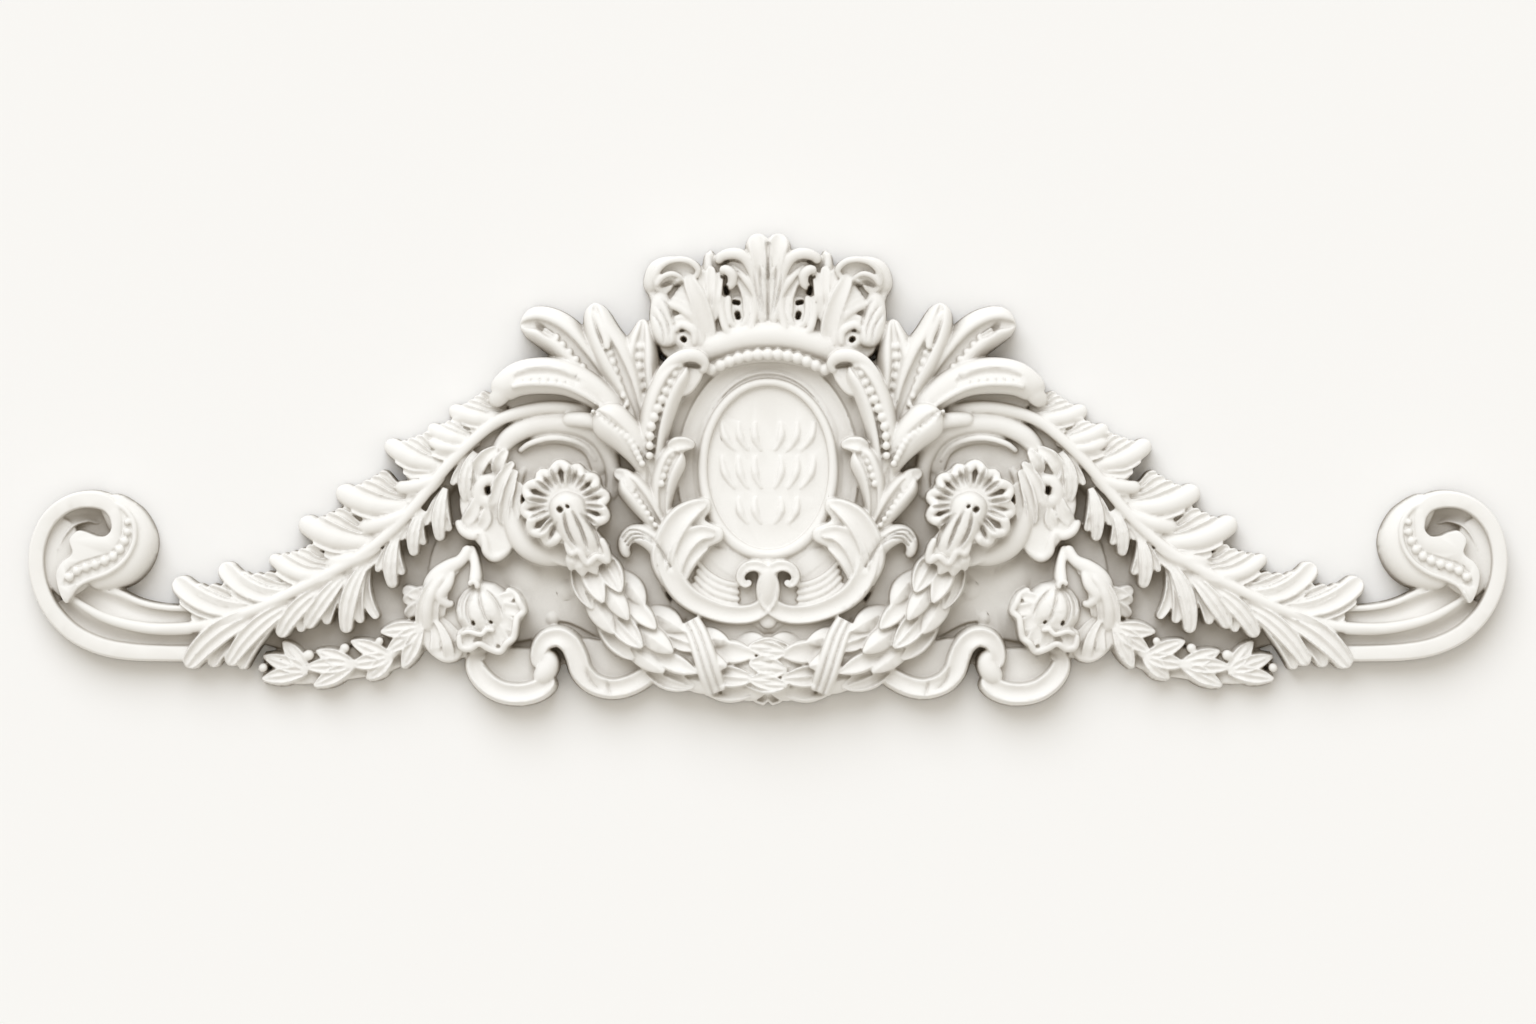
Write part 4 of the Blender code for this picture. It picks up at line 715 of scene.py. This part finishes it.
def hanging_leaf():
    stem = [(470, 546, 5, 34), (462, 560, 6, 38), (449, 568, 8, 41), (438, 578, 10, 42), (430, 594, 11, 40)]
    sweep(stem)
    blades = ((0, 1, 0.075), (0.11, 0.93, 0.062), (-0.1, 0.93, 0.066), (-0.2, 0.82, 0.06))
    frond((456, 566), (429, 631), 11, blades, [38, 44, 44, 40, 32])
    hook = [(453, 570, 4, 40), (449, 584, 5, 44), (441, 596, 5, 43), (449, 604, 4, 40), (454, 601, 3, 38)]
    sweep(hook)
    lobes = ((0, 1, 0.14), (0.3, 0.86, 0.13), (-0.3, 0.94, 0.13))
    frond((436, 620), (450, 661), -4, lobes, [34, 36, 36, 28], dished, dished)
    for base, tip in (((428, 590), (404, 603)), ((425, 604), (406, 617)), ((424, 600), (402, 590))):
        strip(base, tip, 2, [5, 7, 5.5], [28, 27, 22], dished)


def tulip():
    strip((470, 546), (475, 584), -3, [4, 4.6, 6.5], [30, 38, 46])
    boss(484, 610, 29, 29, 52, 26)
    boss(493, 620, 24, 25, 43, 39)
    cup = [(476, 592, 16, 46), (482, 608, 25, 50), (487, 624, 28, 48), (489, 634, 26, 42)]
    sweep(cup)
    ring = [(470, 585, 2.6, 50), (474, 581, 2.6, 51), (479, 584, 2.6, 51), (477, 588, 2.6, 51)]
    sweep(ring)
    for a, b, bow in (
        ((475, 590), (474, 626), 6), ((480, 590), (490, 624), 2), ((484, 588), (503, 616), -3),
        ((470, 590), (463, 616), 4),
    ):
        scratch(a, b, bow, 2.6, 4)
    pit(474.5, 622.5, 2.2, 3.0, 10)
    pit(492, 621.5, 1.8, 2.2, 8)
    skirt = [
        ((477, 626), (462, 645), 9), ((482, 626), (475, 646), 9), ((488, 626), (492, 650), 9),
        ((494, 624), (506, 644), 9), ((498, 616), (517, 628), 9), ((498, 606), (521, 611), 8),
        ((496, 600), (514, 596), 7),
    ]
    under = [
        (458, 632), (474, 622), (494, 600), (514, 590), (524, 600), (526, 612), (519, 624), (517, 638),
        (506, 648), (490, 650), (480, 646), (464, 650),
    ]
    plate(under, 38)
    for base, tip, half in skirt:
        strip(base, tip, 0, [half - 2, half], [44, 43], dished)
    hem = [
        (460, 634, 2.6, 44), (462, 646, 3.4, 43), (471, 648, 3.2, 44), (480, 643, 3, 47),
        (490, 648, 3.4, 44), (501, 651, 3.4, 43), (507, 643, 3, 46), (514, 637, 3.2, 45), (516, 627, 3, 47),
        (518, 617, 3, 46), (524, 611, 3.2, 44), (520, 602, 3, 45), (516, 594, 2.8, 42), (507, 589, 2.6, 42),
    ]
    sweep(hem)
    lip = [
        (462, 634, 2.2, 46), (470, 631, 2.4, 49), (482, 634, 2.4, 50), (488, 629, 2.4, 50),
        (496, 630, 2.2, 49),
    ]
    sweep(lip)


def ribbon():
    left_loop = [
        (486, 652, 6, 28), (476, 658, 8.5, 31), (478, 671, 10.5, 33), (489, 684, 11, 34),
        (505, 692, 11, 34), (525, 693, 11, 34), (542, 687, 10.5, 34), (552, 675, 9, 33),
    ]
    sweep(left_loop, dished, flare=(3, 3))
    sweep([(535, 680, 7, 34), (545, 672, 10, 38), (550, 661, 9, 38), (544, 651, 6, 36)])
    crossing = [
        (540, 668, 7, 33), (538.5, 654, 8, 37), (545, 641, 9.5, 40), (558, 636.5, 10, 42),
        (570, 643, 10.5, 42), (577, 656, 11, 40), (582, 671, 11, 38), (594, 683, 10.5, 35),
        (612, 688, 10, 33), (631, 684, 10, 31), (652, 672, 9.5, 30),
    ]
    sweep(crossing, dished, flare=(3, 3))
    scratch((587, 668), (600, 690), 3, 2.2, 2.5)
    scratch((607, 680), (611, 697), 0, 2.4, 2.5)
    plate([(474, 654), (505, 648), (545, 652), (548, 672), (530, 690), (500, 690), (482, 676)], 22)
    plate([(578, 640), (620, 646), (656, 660), (640, 682), (612, 688), (592, 678)], 20)


# The oval frame, the spray beside it and the crest above.


def cartouche():
    a = np.linspace(0, FULL_TURN, 20, endpoint=False)[::-1]
    for y, rx, ry, height in ((473, 103, 132, 30), (470, 66, 90, 26)):
        outline = np.stack([AXIS_X - rx * np.cos(a), y - ry * np.sin(a)], 1)
        plate(outline[::-1], height, mirror=False)
    oval(470, 93, 118, (12, 13), 33, dished)
    oval(470, 70.5, 91.5, (3.8, 6), 37, rounded, (3, 3))
    moulding = [(692, 361, 12, 38), (714, 347, 13.5, 43), (741, 338.5, 14, 45), (768, 336, 14, 46)]
    sweep(and_back(moulding), mirror=False)
    under = [(706, 368, 9, 35), (740, 357, 9, 38), (768, 354, 9, 39)]
    sweep(and_back(under), flat, mirror=False)
    beads([(711, 370), (740, 358.4), (768, 355), (796, 358.4), (825, 370)], 13, 6, [47, 51, 47], False)


def oval_strokes():
    """Rows of shallow strokes in the field of the oval, alike on both sides of the axis."""
    for y, size, reach in ((436, 15, 3), (472, 17, 3), (510, 14, 2)):
        for k in range(reach):
            x = AXIS_X - 9 - 15 * k
            lean = 3 + 2 * k
            strip((x + lean, y + size), (x - lean, y - size), -4, [1.6, 3.4, 2.2], [31, 33.6, 31])


def calyx():
    under = [
        (660, 576), (656, 560), (660, 535), (673, 512), (692, 500), (708, 499), (711, 509), (705, 520),
        (722, 529), (722, 540), (709, 547), (698, 556), (688, 566), (680, 576),
    ]
    plate(under, 46, edge=3)
    blades = [
        [
            (670, 584, 8, 42), (664, 560, 13, 50), (669, 538, 14, 54), (681, 519, 13, 56),
            (695, 508, 9, 54), (707, 503, 4, 49),
        ],
        [(674, 584, 8, 42), (676, 562, 11, 50), (685, 543, 12, 53), (700, 533, 9, 53), (716, 534, 5, 49)],
        [(678, 584, 7, 42), (687, 564, 8, 49), (698, 551, 7, 49), (708, 545, 4, 46)],
    ]
    for rows in blades:
        sweep(rows, dished, blunt=START)
    c_band = [
        (666, 552, 12, 50), (672, 575, 12, 49), (685, 594, 11.5, 46), (706, 607, 11, 42),
        (730, 614, 10.5, 40), (752, 613, 10, 41), (767, 603, 9, 44), (772, 587, 8, 47), (767, 572, 6.5, 49),
        (756, 565.5, 5.6, 50), (745, 568.5, 5, 49), (740.5, 577, 4.4, 47), (745, 584, 3.8, 46),
        (751.5, 581, 3.2, 45),
    ]
    sweep(c_band, dished, blunt=START)
    inside = [
        (684, 560), (700, 545), (740, 552), (776, 556), (776, 630), (740, 618), (704, 604), (686, 590),
    ]
    plate(inside, 32)
    apron = [(668, 604, 12, 24), (694, 620, 16, 28), (734, 632, 15, 29), (770, 635, 15, 29)]
    sweep(apron, flat, blunt=END)
    for k in range(4):
        strip((692 + 2 * k, 583 - 7 * k), (740, 606 - 7 * k), 6, [2.6, 3, 2.8], [36, 38, 37], flare=(1, 1))
    small_scroll = [
        (674, 584, 10, 40), (668, 562, 12, 45), (658, 545, 11.5, 48), (645, 535.5, 10.5, 48),
        (633, 534, 9, 46), (625.5, 541, 7, 43), (625, 550, 5.5, 41), (629, 557, 4, 38),
    ]
    sweep(small_scroll)
    for shift in (-3.6, 0.4, 4):
        cut([(x + 0.7 * shift, y + shift, 1.5, 3) for x, y, _, _ in small_scroll[1:6]])
    knot = [(AXIS_X, 560, 11, 46), (AXIS_X, 574, 10, 50), (AXIS_X, 594, 8, 47), (AXIS_X, 612, 10, 38)]
    sweep(knot, mirror=False)
    boss(AXIS_X, 620, 9, 9, 37, 34, mirror=False)


def pod(rows, bead_path, count, radius, section=podded, rise=-2):
    """A seed pod through the rows, with beads in the furrow between its lips."""
    sweep(rows, section, blunt=START)
    crest = max(h for _, _, _, h in rows)
    beads(bead_path, count, radius, [crest + rise] * 2)


def spray():
    """Seven beaded pods and a drooping leaf beside the oval."""
    under = [
        (560, 372), (600, 350), (640, 350), (672, 372), (676, 420), (672, 500), (655, 520), (630, 470),
        (600, 430),
    ]
    plate(under, 22)
    rows = [
        (655, 470, 5, 30), (628, 420, 9, 34), (606, 388, 14, 38), (584, 360, 19, 41), (562, 337, 21, 43),
        (541, 325.5, 19, 41), (520.5, 325, 13, 35),
    ]
    pod(rows, [(556, 338), (570, 353), (590, 374)], 6, [4.4, 4.2, 3], rise=-1.5)
    scratch((538, 324), (556, 337), 2, 4.5, 6)
    strip((544, 329), (556, 337), 1, [2, 2.6, 2], [41, 42, 41])
    rows = [
        (655, 470, 4, 32), (640, 420, 9, 40), (628, 385, 16, 46), (615, 358, 20, 49), (603, 335, 17, 48),
        (597, 317, 13, 45), (595.5, 303.5, 7, 39),
    ]
    pod(rows, [(607, 336), (614, 366), (627, 405)], 9, [2.6, 4.8, 4.4, 3], rise=-2.5)
    strip((608, 350), (592, 312), 4, [3, 5, 3], [50, 48, 42])
    rows = [
        (652, 470, 4, 32), (650, 425, 8, 37), (644, 395, 14, 42), (640, 365, 19, 44), (641, 345, 16, 43),
        (643, 329, 9, 40), (643.5, 319.5, 4.5, 35),
    ]
    pod(rows, [(640.7, 347), (639.6, 369), (643.5, 397)], 6, [5.2, 5, 4.2])
    drooping = [
        (650, 462, 5, 32), (622, 418, 11, 42), (597, 394, 15, 48), (571, 380, 17, 52), (545, 376, 18, 54),
        (521, 379, 17, 53), (504, 389, 14, 48), (496, 397, 12, 42),
    ]
    sweep(drooping, blunt=START)
    sweep([(510, 384, 9, 48), (500, 397, 9, 44), (491, 405, 6, 36)])
    brow = [
        (513, 388, 2.2, 54), (524, 385, 2.8, 57), (545, 384, 3, 58), (566, 387, 3, 56), (586, 396, 2.6, 52),
        (604, 408, 2.2, 47),
    ]
    sweep(brow)
    cut([(518, 378, 4, 3), (535, 374, 6, 5), (556, 375, 6, 5), (578, 382, 4, 3)])
    for k in range(7):
        x = 524 + 8.5 * k
        scratch((x + 3, 372 + 0.6 * k), (x, 382 + 0.6 * k), 1, 1.6, 3)
    rows = [
        (652, 520, 5, 36), (650, 480, 10, 46), (653, 440, 15, 53), (660, 408, 17, 58), (672, 381, 16, 61),
        (686, 365, 13, 60),
    ]
    pod(rows, [(680, 366), (663, 399), (652, 428), (650, 456)], 11, [3.8, 4.8, 4.8, 4])
    hood = [
        (655, 388, 4, 52), (663, 373, 5, 58), (675, 361, 6, 61), (689, 356, 6.5, 62), (700, 358.5, 6, 60),
        (705, 366, 4.6, 56), (701, 373, 3.6, 53),
    ]
    sweep(hood)
    plate([(672, 372), (690, 361), (702, 366), (702, 378), (690, 394), (678, 394)], 50)
    cut([(686, 366, 2.4, 4), (695, 366.5, 2.8, 5), (700, 368, 2, 3)])
    rows = [
        (658, 500, 5, 38), (645, 463, 12, 50), (630, 440, 17, 57), (612, 423, 20, 61), (597, 411, 19.5, 61),
    ]
    path = [(594, 412), (612, 427), (630, 441), (643, 464)]
    pod(rows, path, 13, [2, 2.6, 3.6, 4.2, 3.4], slit)
    strip((602, 424), (563, 420), 2, [7, 8, 7], [47, 46, 41])
    plate([(505, 402), (540, 388), (590, 392), (600, 412), (560, 410), (525, 412)], 29)
    rows = [
        (667, 543, 6, 38), (656, 520, 11, 46), (643, 500, 15, 51), (631, 485, 15, 52), (623, 476, 12, 50),
    ]
    pod(rows, [(629, 485), (642, 504), (656, 525)], 8, [3.4, 2.8])
    strip((634, 486), (614, 473), 3, [9, 8, 5], [50, 48, 41], dished)
    strip((636, 490), (626, 469), -2, [6, 5, 3], [50, 50, 45])
    rows = [
        (668, 540, 5, 38), (663, 510, 9, 46), (664, 484, 13, 53), (671, 463, 15, 56), (681, 450, 12, 55),
    ]
    pod(rows, [(676, 448), (667, 465), (662, 484)], 6, [4, 3.6], rise=-1.5)
    strip((668, 449), (695, 446), -3, [5, 8, 7, 3], [52, 57, 55, 49], dished)


def crest():
    ground = [
        (768, 345), (705, 355), (670, 358), (658, 342), (654, 318), (651, 298), (646, 286), (652, 270),
        (668, 260), (690, 262), (704, 268), (710, 251), (718, 260), (733, 254), (744, 252), (755, 239),
        (768, 243),
    ]
    plate(and_back(ground)[:-1], 34, mirror=False)
    lobe = [
        (674, 346, 11, 44), (665, 333, 12, 45), (662, 316, 11.5, 44), (662, 300, 9, 42), (664, 292, 6, 40),
    ]
    sweep(lobe)
    shell = [
        (666, 294, 9, 42), (665, 281, 12, 46), (676, 272, 13, 48), (688, 272, 11, 47), (698, 274, 6, 45),
    ]
    sweep(shell, dished)
    back = [
        (655, 292, 6, 36), (652, 283, 7.5, 40), (656, 270, 7.5, 43), (667, 265, 7.5, 45), (682, 265, 7, 45),
    ]
    sweep(back)
    hood = [
        (659, 291, 3, 40), (656, 281, 3, 46), (659, 271, 3, 50), (667, 263.5, 3, 53), (679, 260.5, 3, 54),
        (691, 263, 3, 53), (698.5, 271, 3, 50), (695, 279, 2.6, 47),
    ]
    sweep(hood)
    sweep([(656, 287, 2.2, 46), (663, 278, 2.6, 50), (673, 274.5, 2.6, 51), (683, 279, 2.2, 48)])
    cut([(663, 286, 2.6, 4), (671, 283, 3.4, 6), (679, 286, 2.4, 4)])
    stem = [
        (708, 344, 10, 40), (705, 322, 10.5, 45), (698, 300, 10, 49), (691, 284, 7.5, 49),
        (689, 274, 4, 46),
    ]
    sweep(stem, dished)
    for k in range(4):
        a, b = (700 - 1.5 * k, 334 - 8 * k), (668 + 3.4 * k, 304 - 5 * k)
        strip(a, b, 7, [3, 5, 5], [42, 46, 41])
    for reach, h in ((18, 41), (11.5, 43)):
        curl = [
            (683 + reach, 347, 3.6, h), (683 + reach, 335, 3.8, h + 1),
            (683 + 0.6 * reach, 340 - reach, 4, h + 2), (683 - 0.2 * reach, 337 - reach, 4, h + 1),
            (683 - 0.8 * reach, 341 - 0.8 * reach, 3.6, h),
        ]
        sweep(curl)
    boss(684, 341, 9, 9, 41, 38)
    pit(684, 340, 3.2, 3.6, 20)
    strip((700, 352), (670, 351), 5, [7, 10, 10], [42, 41, 34])
    fan = [((708, 322), (702, 271), 4.6), ((711, 320), (711, 267), 5), ((714, 322), (720, 273), 4.6)]
    for base, tip, half in fan:
        strip(base, tip, 0, [2.6, half, half], [40, 46, 44], dished)
    strip((708, 288), (709, 253), 0, [7, 6, 3], [37, 38, 36])
    ball = [
        (720, 273, 3.6, 48), (726, 270.5, 4.8, 51), (732, 275, 5, 51), (732, 284, 4.4, 48),
        (727, 289, 3.4, 45),
    ]
    sweep(ball)
    pit(722.5, 278, 2.2, 1.6, 7)
    arch_hood = [
        (717, 264, 3.8, 45), (723, 257, 5, 49), (734, 254.5, 5.6, 52), (744, 258, 5.6, 52),
        (751, 268, 5.4, 50), (757, 284, 5, 48), (761, 302, 4.8, 45), (762, 324, 4.4, 41),
    ]
    sweep(arch_hood)
    sweep([(726, 266, 7, 43), (740, 274, 9, 44), (749, 296, 8, 43), (750, 320, 8, 41)], dished)
    strip((757, 302), (731, 267), 4, [2.8, 4, 2.8], [44, 47, 45])
    for reach, half, h in ((9.5, 3.2, 42), (16.5, 3.6, 44)):
        side = 738 - reach
        loop = [(side, 296, half, h), (side, 312, half, h), (738 - 0.7 * reach, 314 + reach, half, h)]
        loop = and_back(loop + [(738, 316 + 1.15 * reach, half, h - 2)], 738)
        sweep(loop)
    strip((738, 330), (738, 296), 0, [8, 8], [38, 38], flat)
    pit(726.3, 291, 2.9, 5.2, 22)
    pit(736.4, 303, 4.6, 2.8, 20)
    pit(737.8, 316, 3.0, 4.8, 20)
    veins = (((670, 341), (656, 306), 4), ((675, 331), (663, 300), 3), ((664, 344), (652, 314), 4))
    for a, b, bow in veins:
        scratch(a, b, bow, 1.6, 2.6)
    lobes = (((768, 241), 0, 9, 46), ((755, 235), 4, 11.5, 53), ((746, 251), 6, 8, 50))
    for tip, bow, w, h in lobes:
        base = (AXIS_X - 0.12 * (AXIS_X - tip[0]), 326)
        strip(base, tip, bow, [3.5, 6, 9, w, w], [38, 43, 47, h, h - 4], dished)
    cut([(768, 320, 1.6, 3), (768, 285, 2.2, 4), (768, 256, 2.6, 5), (768, 246, 3.4, 5)], False)
    for k in range(2):
        scratch((765 - 1.5 * k, 318), (760 - 6 * k, 268 + 4 * k), -1.5, 1.7, 2.6)


def ground():
    """The thin web that ties the motifs together on the wall."""
    outline = [
        (160, 640), (205, 622), (285, 590), (350, 550), (396, 503), (428, 458), (470, 424), (540, 402),
        (580, 380), (640, 372), (690, 352), (768, 345), (768, 672), (715, 672), (655, 655), (610, 684),
        (585, 672), (560, 664), (510, 690), (480, 668), (440, 650), (400, 655), (330, 662), (290, 652),
        (240, 640), (200, 650),
    ]
    plate(outline, GROUND)
    raised = [
        (436, 540), (470, 520), (520, 470), (600, 440), (640, 500), (690, 600), (660, 640), (620, 660),
        (600, 640), (560, 622), (530, 640), (480, 640), (430, 600),
    ]
    plate(raised, 10)
    behind_arch = [
        (462, 478), (480, 444), (520, 420), (580, 414), (622, 436), (640, 480), (620, 500), (520, 500),
    ]
    plate(behind_arch, 23)
    beside_garland = [
        (602, 478), (634, 470), (650, 500), (654, 540), (664, 590), (686, 622), (700, 640), (696, 656),
        (668, 646), (632, 612), (600, 566),
    ]
    plate(beside_garland, 24)
    for x, y, r in ((523, 577, 20), (552, 619, 7), (646, 582, 17), (627, 665, 9), (590, 600, 14),
                    (566, 590, 11)):
        boss(x, y, r, r, 12.5, 9)
    under_leaf = [
        (426, 582), (450, 564), (470, 556), (474, 580), (462, 612), (464, 652), (446, 662), (426, 648),
        (416, 620),
    ]
    plate(under_leaf, 29)
    under_sprig = [
        (288, 655), (330, 654), (378, 638), (420, 616), (428, 640), (396, 668), (340, 680), (290, 682),
    ]
    plate(under_sprig, 17)


MOTIFS = (
    ground, end_scroll, arm, wing_stem, wing_leaves, arch, rosette, ruffle, garland, sprig, hanging_leaf,
    tulip, ribbon, cartouche, oval_strokes, calyx, spray, crest,
)


# The mesh.


def new_object(name, data):
    obj = bpy.data.objects.new(name, data)
    bpy.context.scene.collection.objects.link(obj)
    return obj


def apply(obj, kind, **settings):
    modifier = obj.modifiers.new(kind.title(), kind)
    for key, value in settings.items():
        setattr(modifier, key, value)
    graph = bpy.context.evaluated_depsgraph_get()
    mesh = bpy.data.meshes.new_from_object(obj.evaluated_get(graph))
    obj.modifiers.clear()
    obj.data = mesh


def wall_block():
    """The space behind the back plane."""
    x, z = BLOCK_HALF_WIDTH, BLOCK_HALF_HEIGHT
    corners = [(i, j, k) for i in (-x, x) for j in (0, BACK_CUT_DEPTH) for k in (-z, z)]
    faces = [(0, 1, 3, 2), (4, 6, 7, 5), (0, 4, 5, 1), (2, 3, 7, 6), (0, 2, 6, 4), (1, 5, 7, 3)]
    mesh = bpy.data.meshes.new("wall_block")
    mesh.from_pydata(corners, [], faces)
    return new_object("wall_block", mesh)


def casting():
    """All motifs as one mesh, with the cuts pressed in, and flat at the back."""
    for motif in MOTIFS:
        motif()
    body = new_object("relief_casting", relief.mesh())
    apply(body, "REMESH", mode="VOXEL", voxel_size=VOXEL)
    apply(body, "SMOOTH", factor=SMOOTHING, iterations=1)
    relief.carve(body.data)
    apply(body, "DECIMATE", ratio=MOST_TRIANGLES / (2 * len(body.data.polygons)))
    block = wall_block()
    apply(body, "BOOLEAN", object=block, operation="DIFFERENCE", solver="EXACT")
    apply(body, "TRIANGULATE")
    bpy.data.objects.remove(block)
    body.data.polygons.foreach_set("use_smooth", [True] * len(body.data.polygons))
    return body


# Materials.


def empty_material(name):
    material = bpy.data.materials.new(name)
    material.use_nodes = True
    material.node_tree.nodes.clear()
    return material


def add_node(tree, kind, **inputs):
    """A shader node with values for its inputs, whose names have underscores for spaces here."""
    node = tree.nodes.new("ShaderNode" + kind)
    for name, value in inputs.items():
        node.inputs[name.replace("_", " ")].default_value = value
    return node


def plaster():
    """Matt plaster: a soft change of tone, painted shade in the hollows, fine grain and a few pin holes."""
    material = empty_material("cast_plaster")
    tree = material.node_tree
    link = tree.links.new
    place = add_node(tree, "TexCoord").outputs["Object"]

    cloud = add_node(tree, "TexNoise", Scale=9.0, Detail=4.0)
    link(place, cloud.inputs["Vector"])
    tone = add_node(tree, "ValToRGB")
    dark, light = tone.color_ramp.elements
    dark.position, dark.color = 0.3, PLASTER_DARK
    light.position, light.color = 0.7, PLASTER_LIGHT
    link(cloud.outputs["Fac"], tone.inputs["Fac"])
    rough = add_node(tree, "MapRange", To_Min=0.55, To_Max=0.75)
    link(cloud.outputs["Fac"], rough.inputs["Value"])

    # Painted shade: ambient occlusion darkens the colour towards a dark warm tone in hollows, creases and
    # under overhangs.
    hollows = add_node(tree, "AmbientOcclusion", Distance=PAINTED_SHADE_REACH)
    hollows.samples = 6
    unshaded_share = add_node(tree, "MapRange", From_Min=0.12, From_Max=0.84)
    link(hollows.outputs["AO"], unshaded_share.inputs["Value"])
    painted_shade_mix = add_node(tree, "Mix")
    painted_shade_mix.data_type = "RGBA"
    painted_shade_mix.inputs["A"].default_value = PAINTED_SHADE_COLOUR
    link(unshaded_share.outputs["Result"], painted_shade_mix.inputs["Factor"])
    link(tone.outputs["Color"], painted_shade_mix.inputs["B"])

    grain = add_node(tree, "TexNoise", Scale=420.0, Detail=3.0)
    link(place, grain.inputs["Vector"])
    pin_holes = add_node(tree, "TexVoronoi", Scale=60.0)
    link(place, pin_holes.inputs["Vector"])
    specks = add_node(tree, "MapRange", From_Min=0.02, From_Max=0.06)
    link(pin_holes.outputs["Distance"], specks.inputs["Value"])
    height = add_node(tree, "Math")
    height.operation = "MULTIPLY_ADD"
    height.inputs[1].default_value = 0.35
    link(grain.outputs["Fac"], height.inputs[0])
    link(specks.outputs["Result"], height.inputs[2])
    bump = add_node(tree, "Bump", Strength=0.25, Distance=GRAIN_HEIGHT)
    link(height.outputs["Value"], bump.inputs["Height"])

    shader = add_node(tree, "BsdfPrincipled", Specular_IOR_Level=0.35)
    link(painted_shade_mix.outputs["Result"], shader.inputs["Base Color"])
    link(rough.outputs["Result"], shader.inputs["Roughness"])
    link(bump.outputs["Normal"], shader.inputs["Normal"])
    link(shader.outputs["BSDF"], add_node(tree, "OutputMaterial").inputs["Surface"])
    return material


def wall_paint():
    """Matt paint in front, clear from behind."""
    material = empty_material("wall_paint")
    tree = material.node_tree
    link = tree.links.new
    either = add_node(tree, "MixShader")
    link(add_node(tree, "NewGeometry").outputs["Backfacing"], either.inputs["Fac"])
    paint = add_node(tree, "BsdfPrincipled", Base_Color=WALL_COLOUR, Roughness=0.9)
    link(paint.outputs["BSDF"], either.inputs[1])
    link(add_node(tree, "BsdfTransparent").outputs["BSDF"], either.inputs[2])
    link(either.outputs["Shader"], add_node(tree, "OutputMaterial").inputs["Surface"])
    return material


# The wall, the light and the camera.


def wall():
    """A pale wall that the casting lies on. It is seen from the front only."""
    mesh = bpy.data.meshes.new("wall")
    x, z = WALL_HALF_WIDTH, WALL_HALF_HEIGHT
    corners = [(-x, WALL_GAP, -z), (x, WALL_GAP, -z), (x, WALL_GAP, z), (-x, WALL_GAP, z)]
    mesh.from_pydata(corners, [], [(0, 1, 2, 3)])
    mesh.materials.append(wall_paint())
    new_object("wall", mesh)


def studio():
    """A soft sun from the upper left in front, and a warm even sky."""
    world = bpy.data.worlds.new("studio")
    bpy.context.scene.world = world
    world.use_nodes = True
    sky = world.node_tree.nodes["Background"].inputs
    sky["Color"].default_value = SKY_COLOUR
    sky["Strength"].default_value = SKY_STRENGTH
    sun = bpy.data.lights.new("sun", "SUN")
    sun.energy = SUN_STRENGTH
    sun.angle = SUN_SPREAD
    sun.color = SUN_COLOUR
    obj = new_object("sun", sun)
    obj.location = SUN_PLACE
    obj.rotation_euler = (-Vector(SUN_PLACE)).to_track_quat("-Z", "Y").to_euler()
    bpy.context.scene.view_settings.view_transform = "Standard"


def camera():
    """A long view straight at the wall that frames it as the photograph does."""
    data = bpy.data.cameras.new("camera")
    data.sensor_width = SENSOR
    data.lens = SENSOR * (CAMERA_DISTANCE - FACE_DEPTH) / (PHOTO_WIDTH * UNIT)
    data.clip_end = VIEW_RANGE
    obj = new_object("camera", data)
    obj.location = (0, -CAMERA_DISTANCE, (AXIS_Y - PHOTO_HEIGHT / 2) * UNIT)
    obj.rotation_euler = (math.pi / 2, 0, 0)
    bpy.context.scene.camera = obj


camera()
piece = casting()
piece.data.materials.clear()
piece.data.materials.append(plaster())
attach(piece, "root")
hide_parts("floral_relief")
wall()
studio()
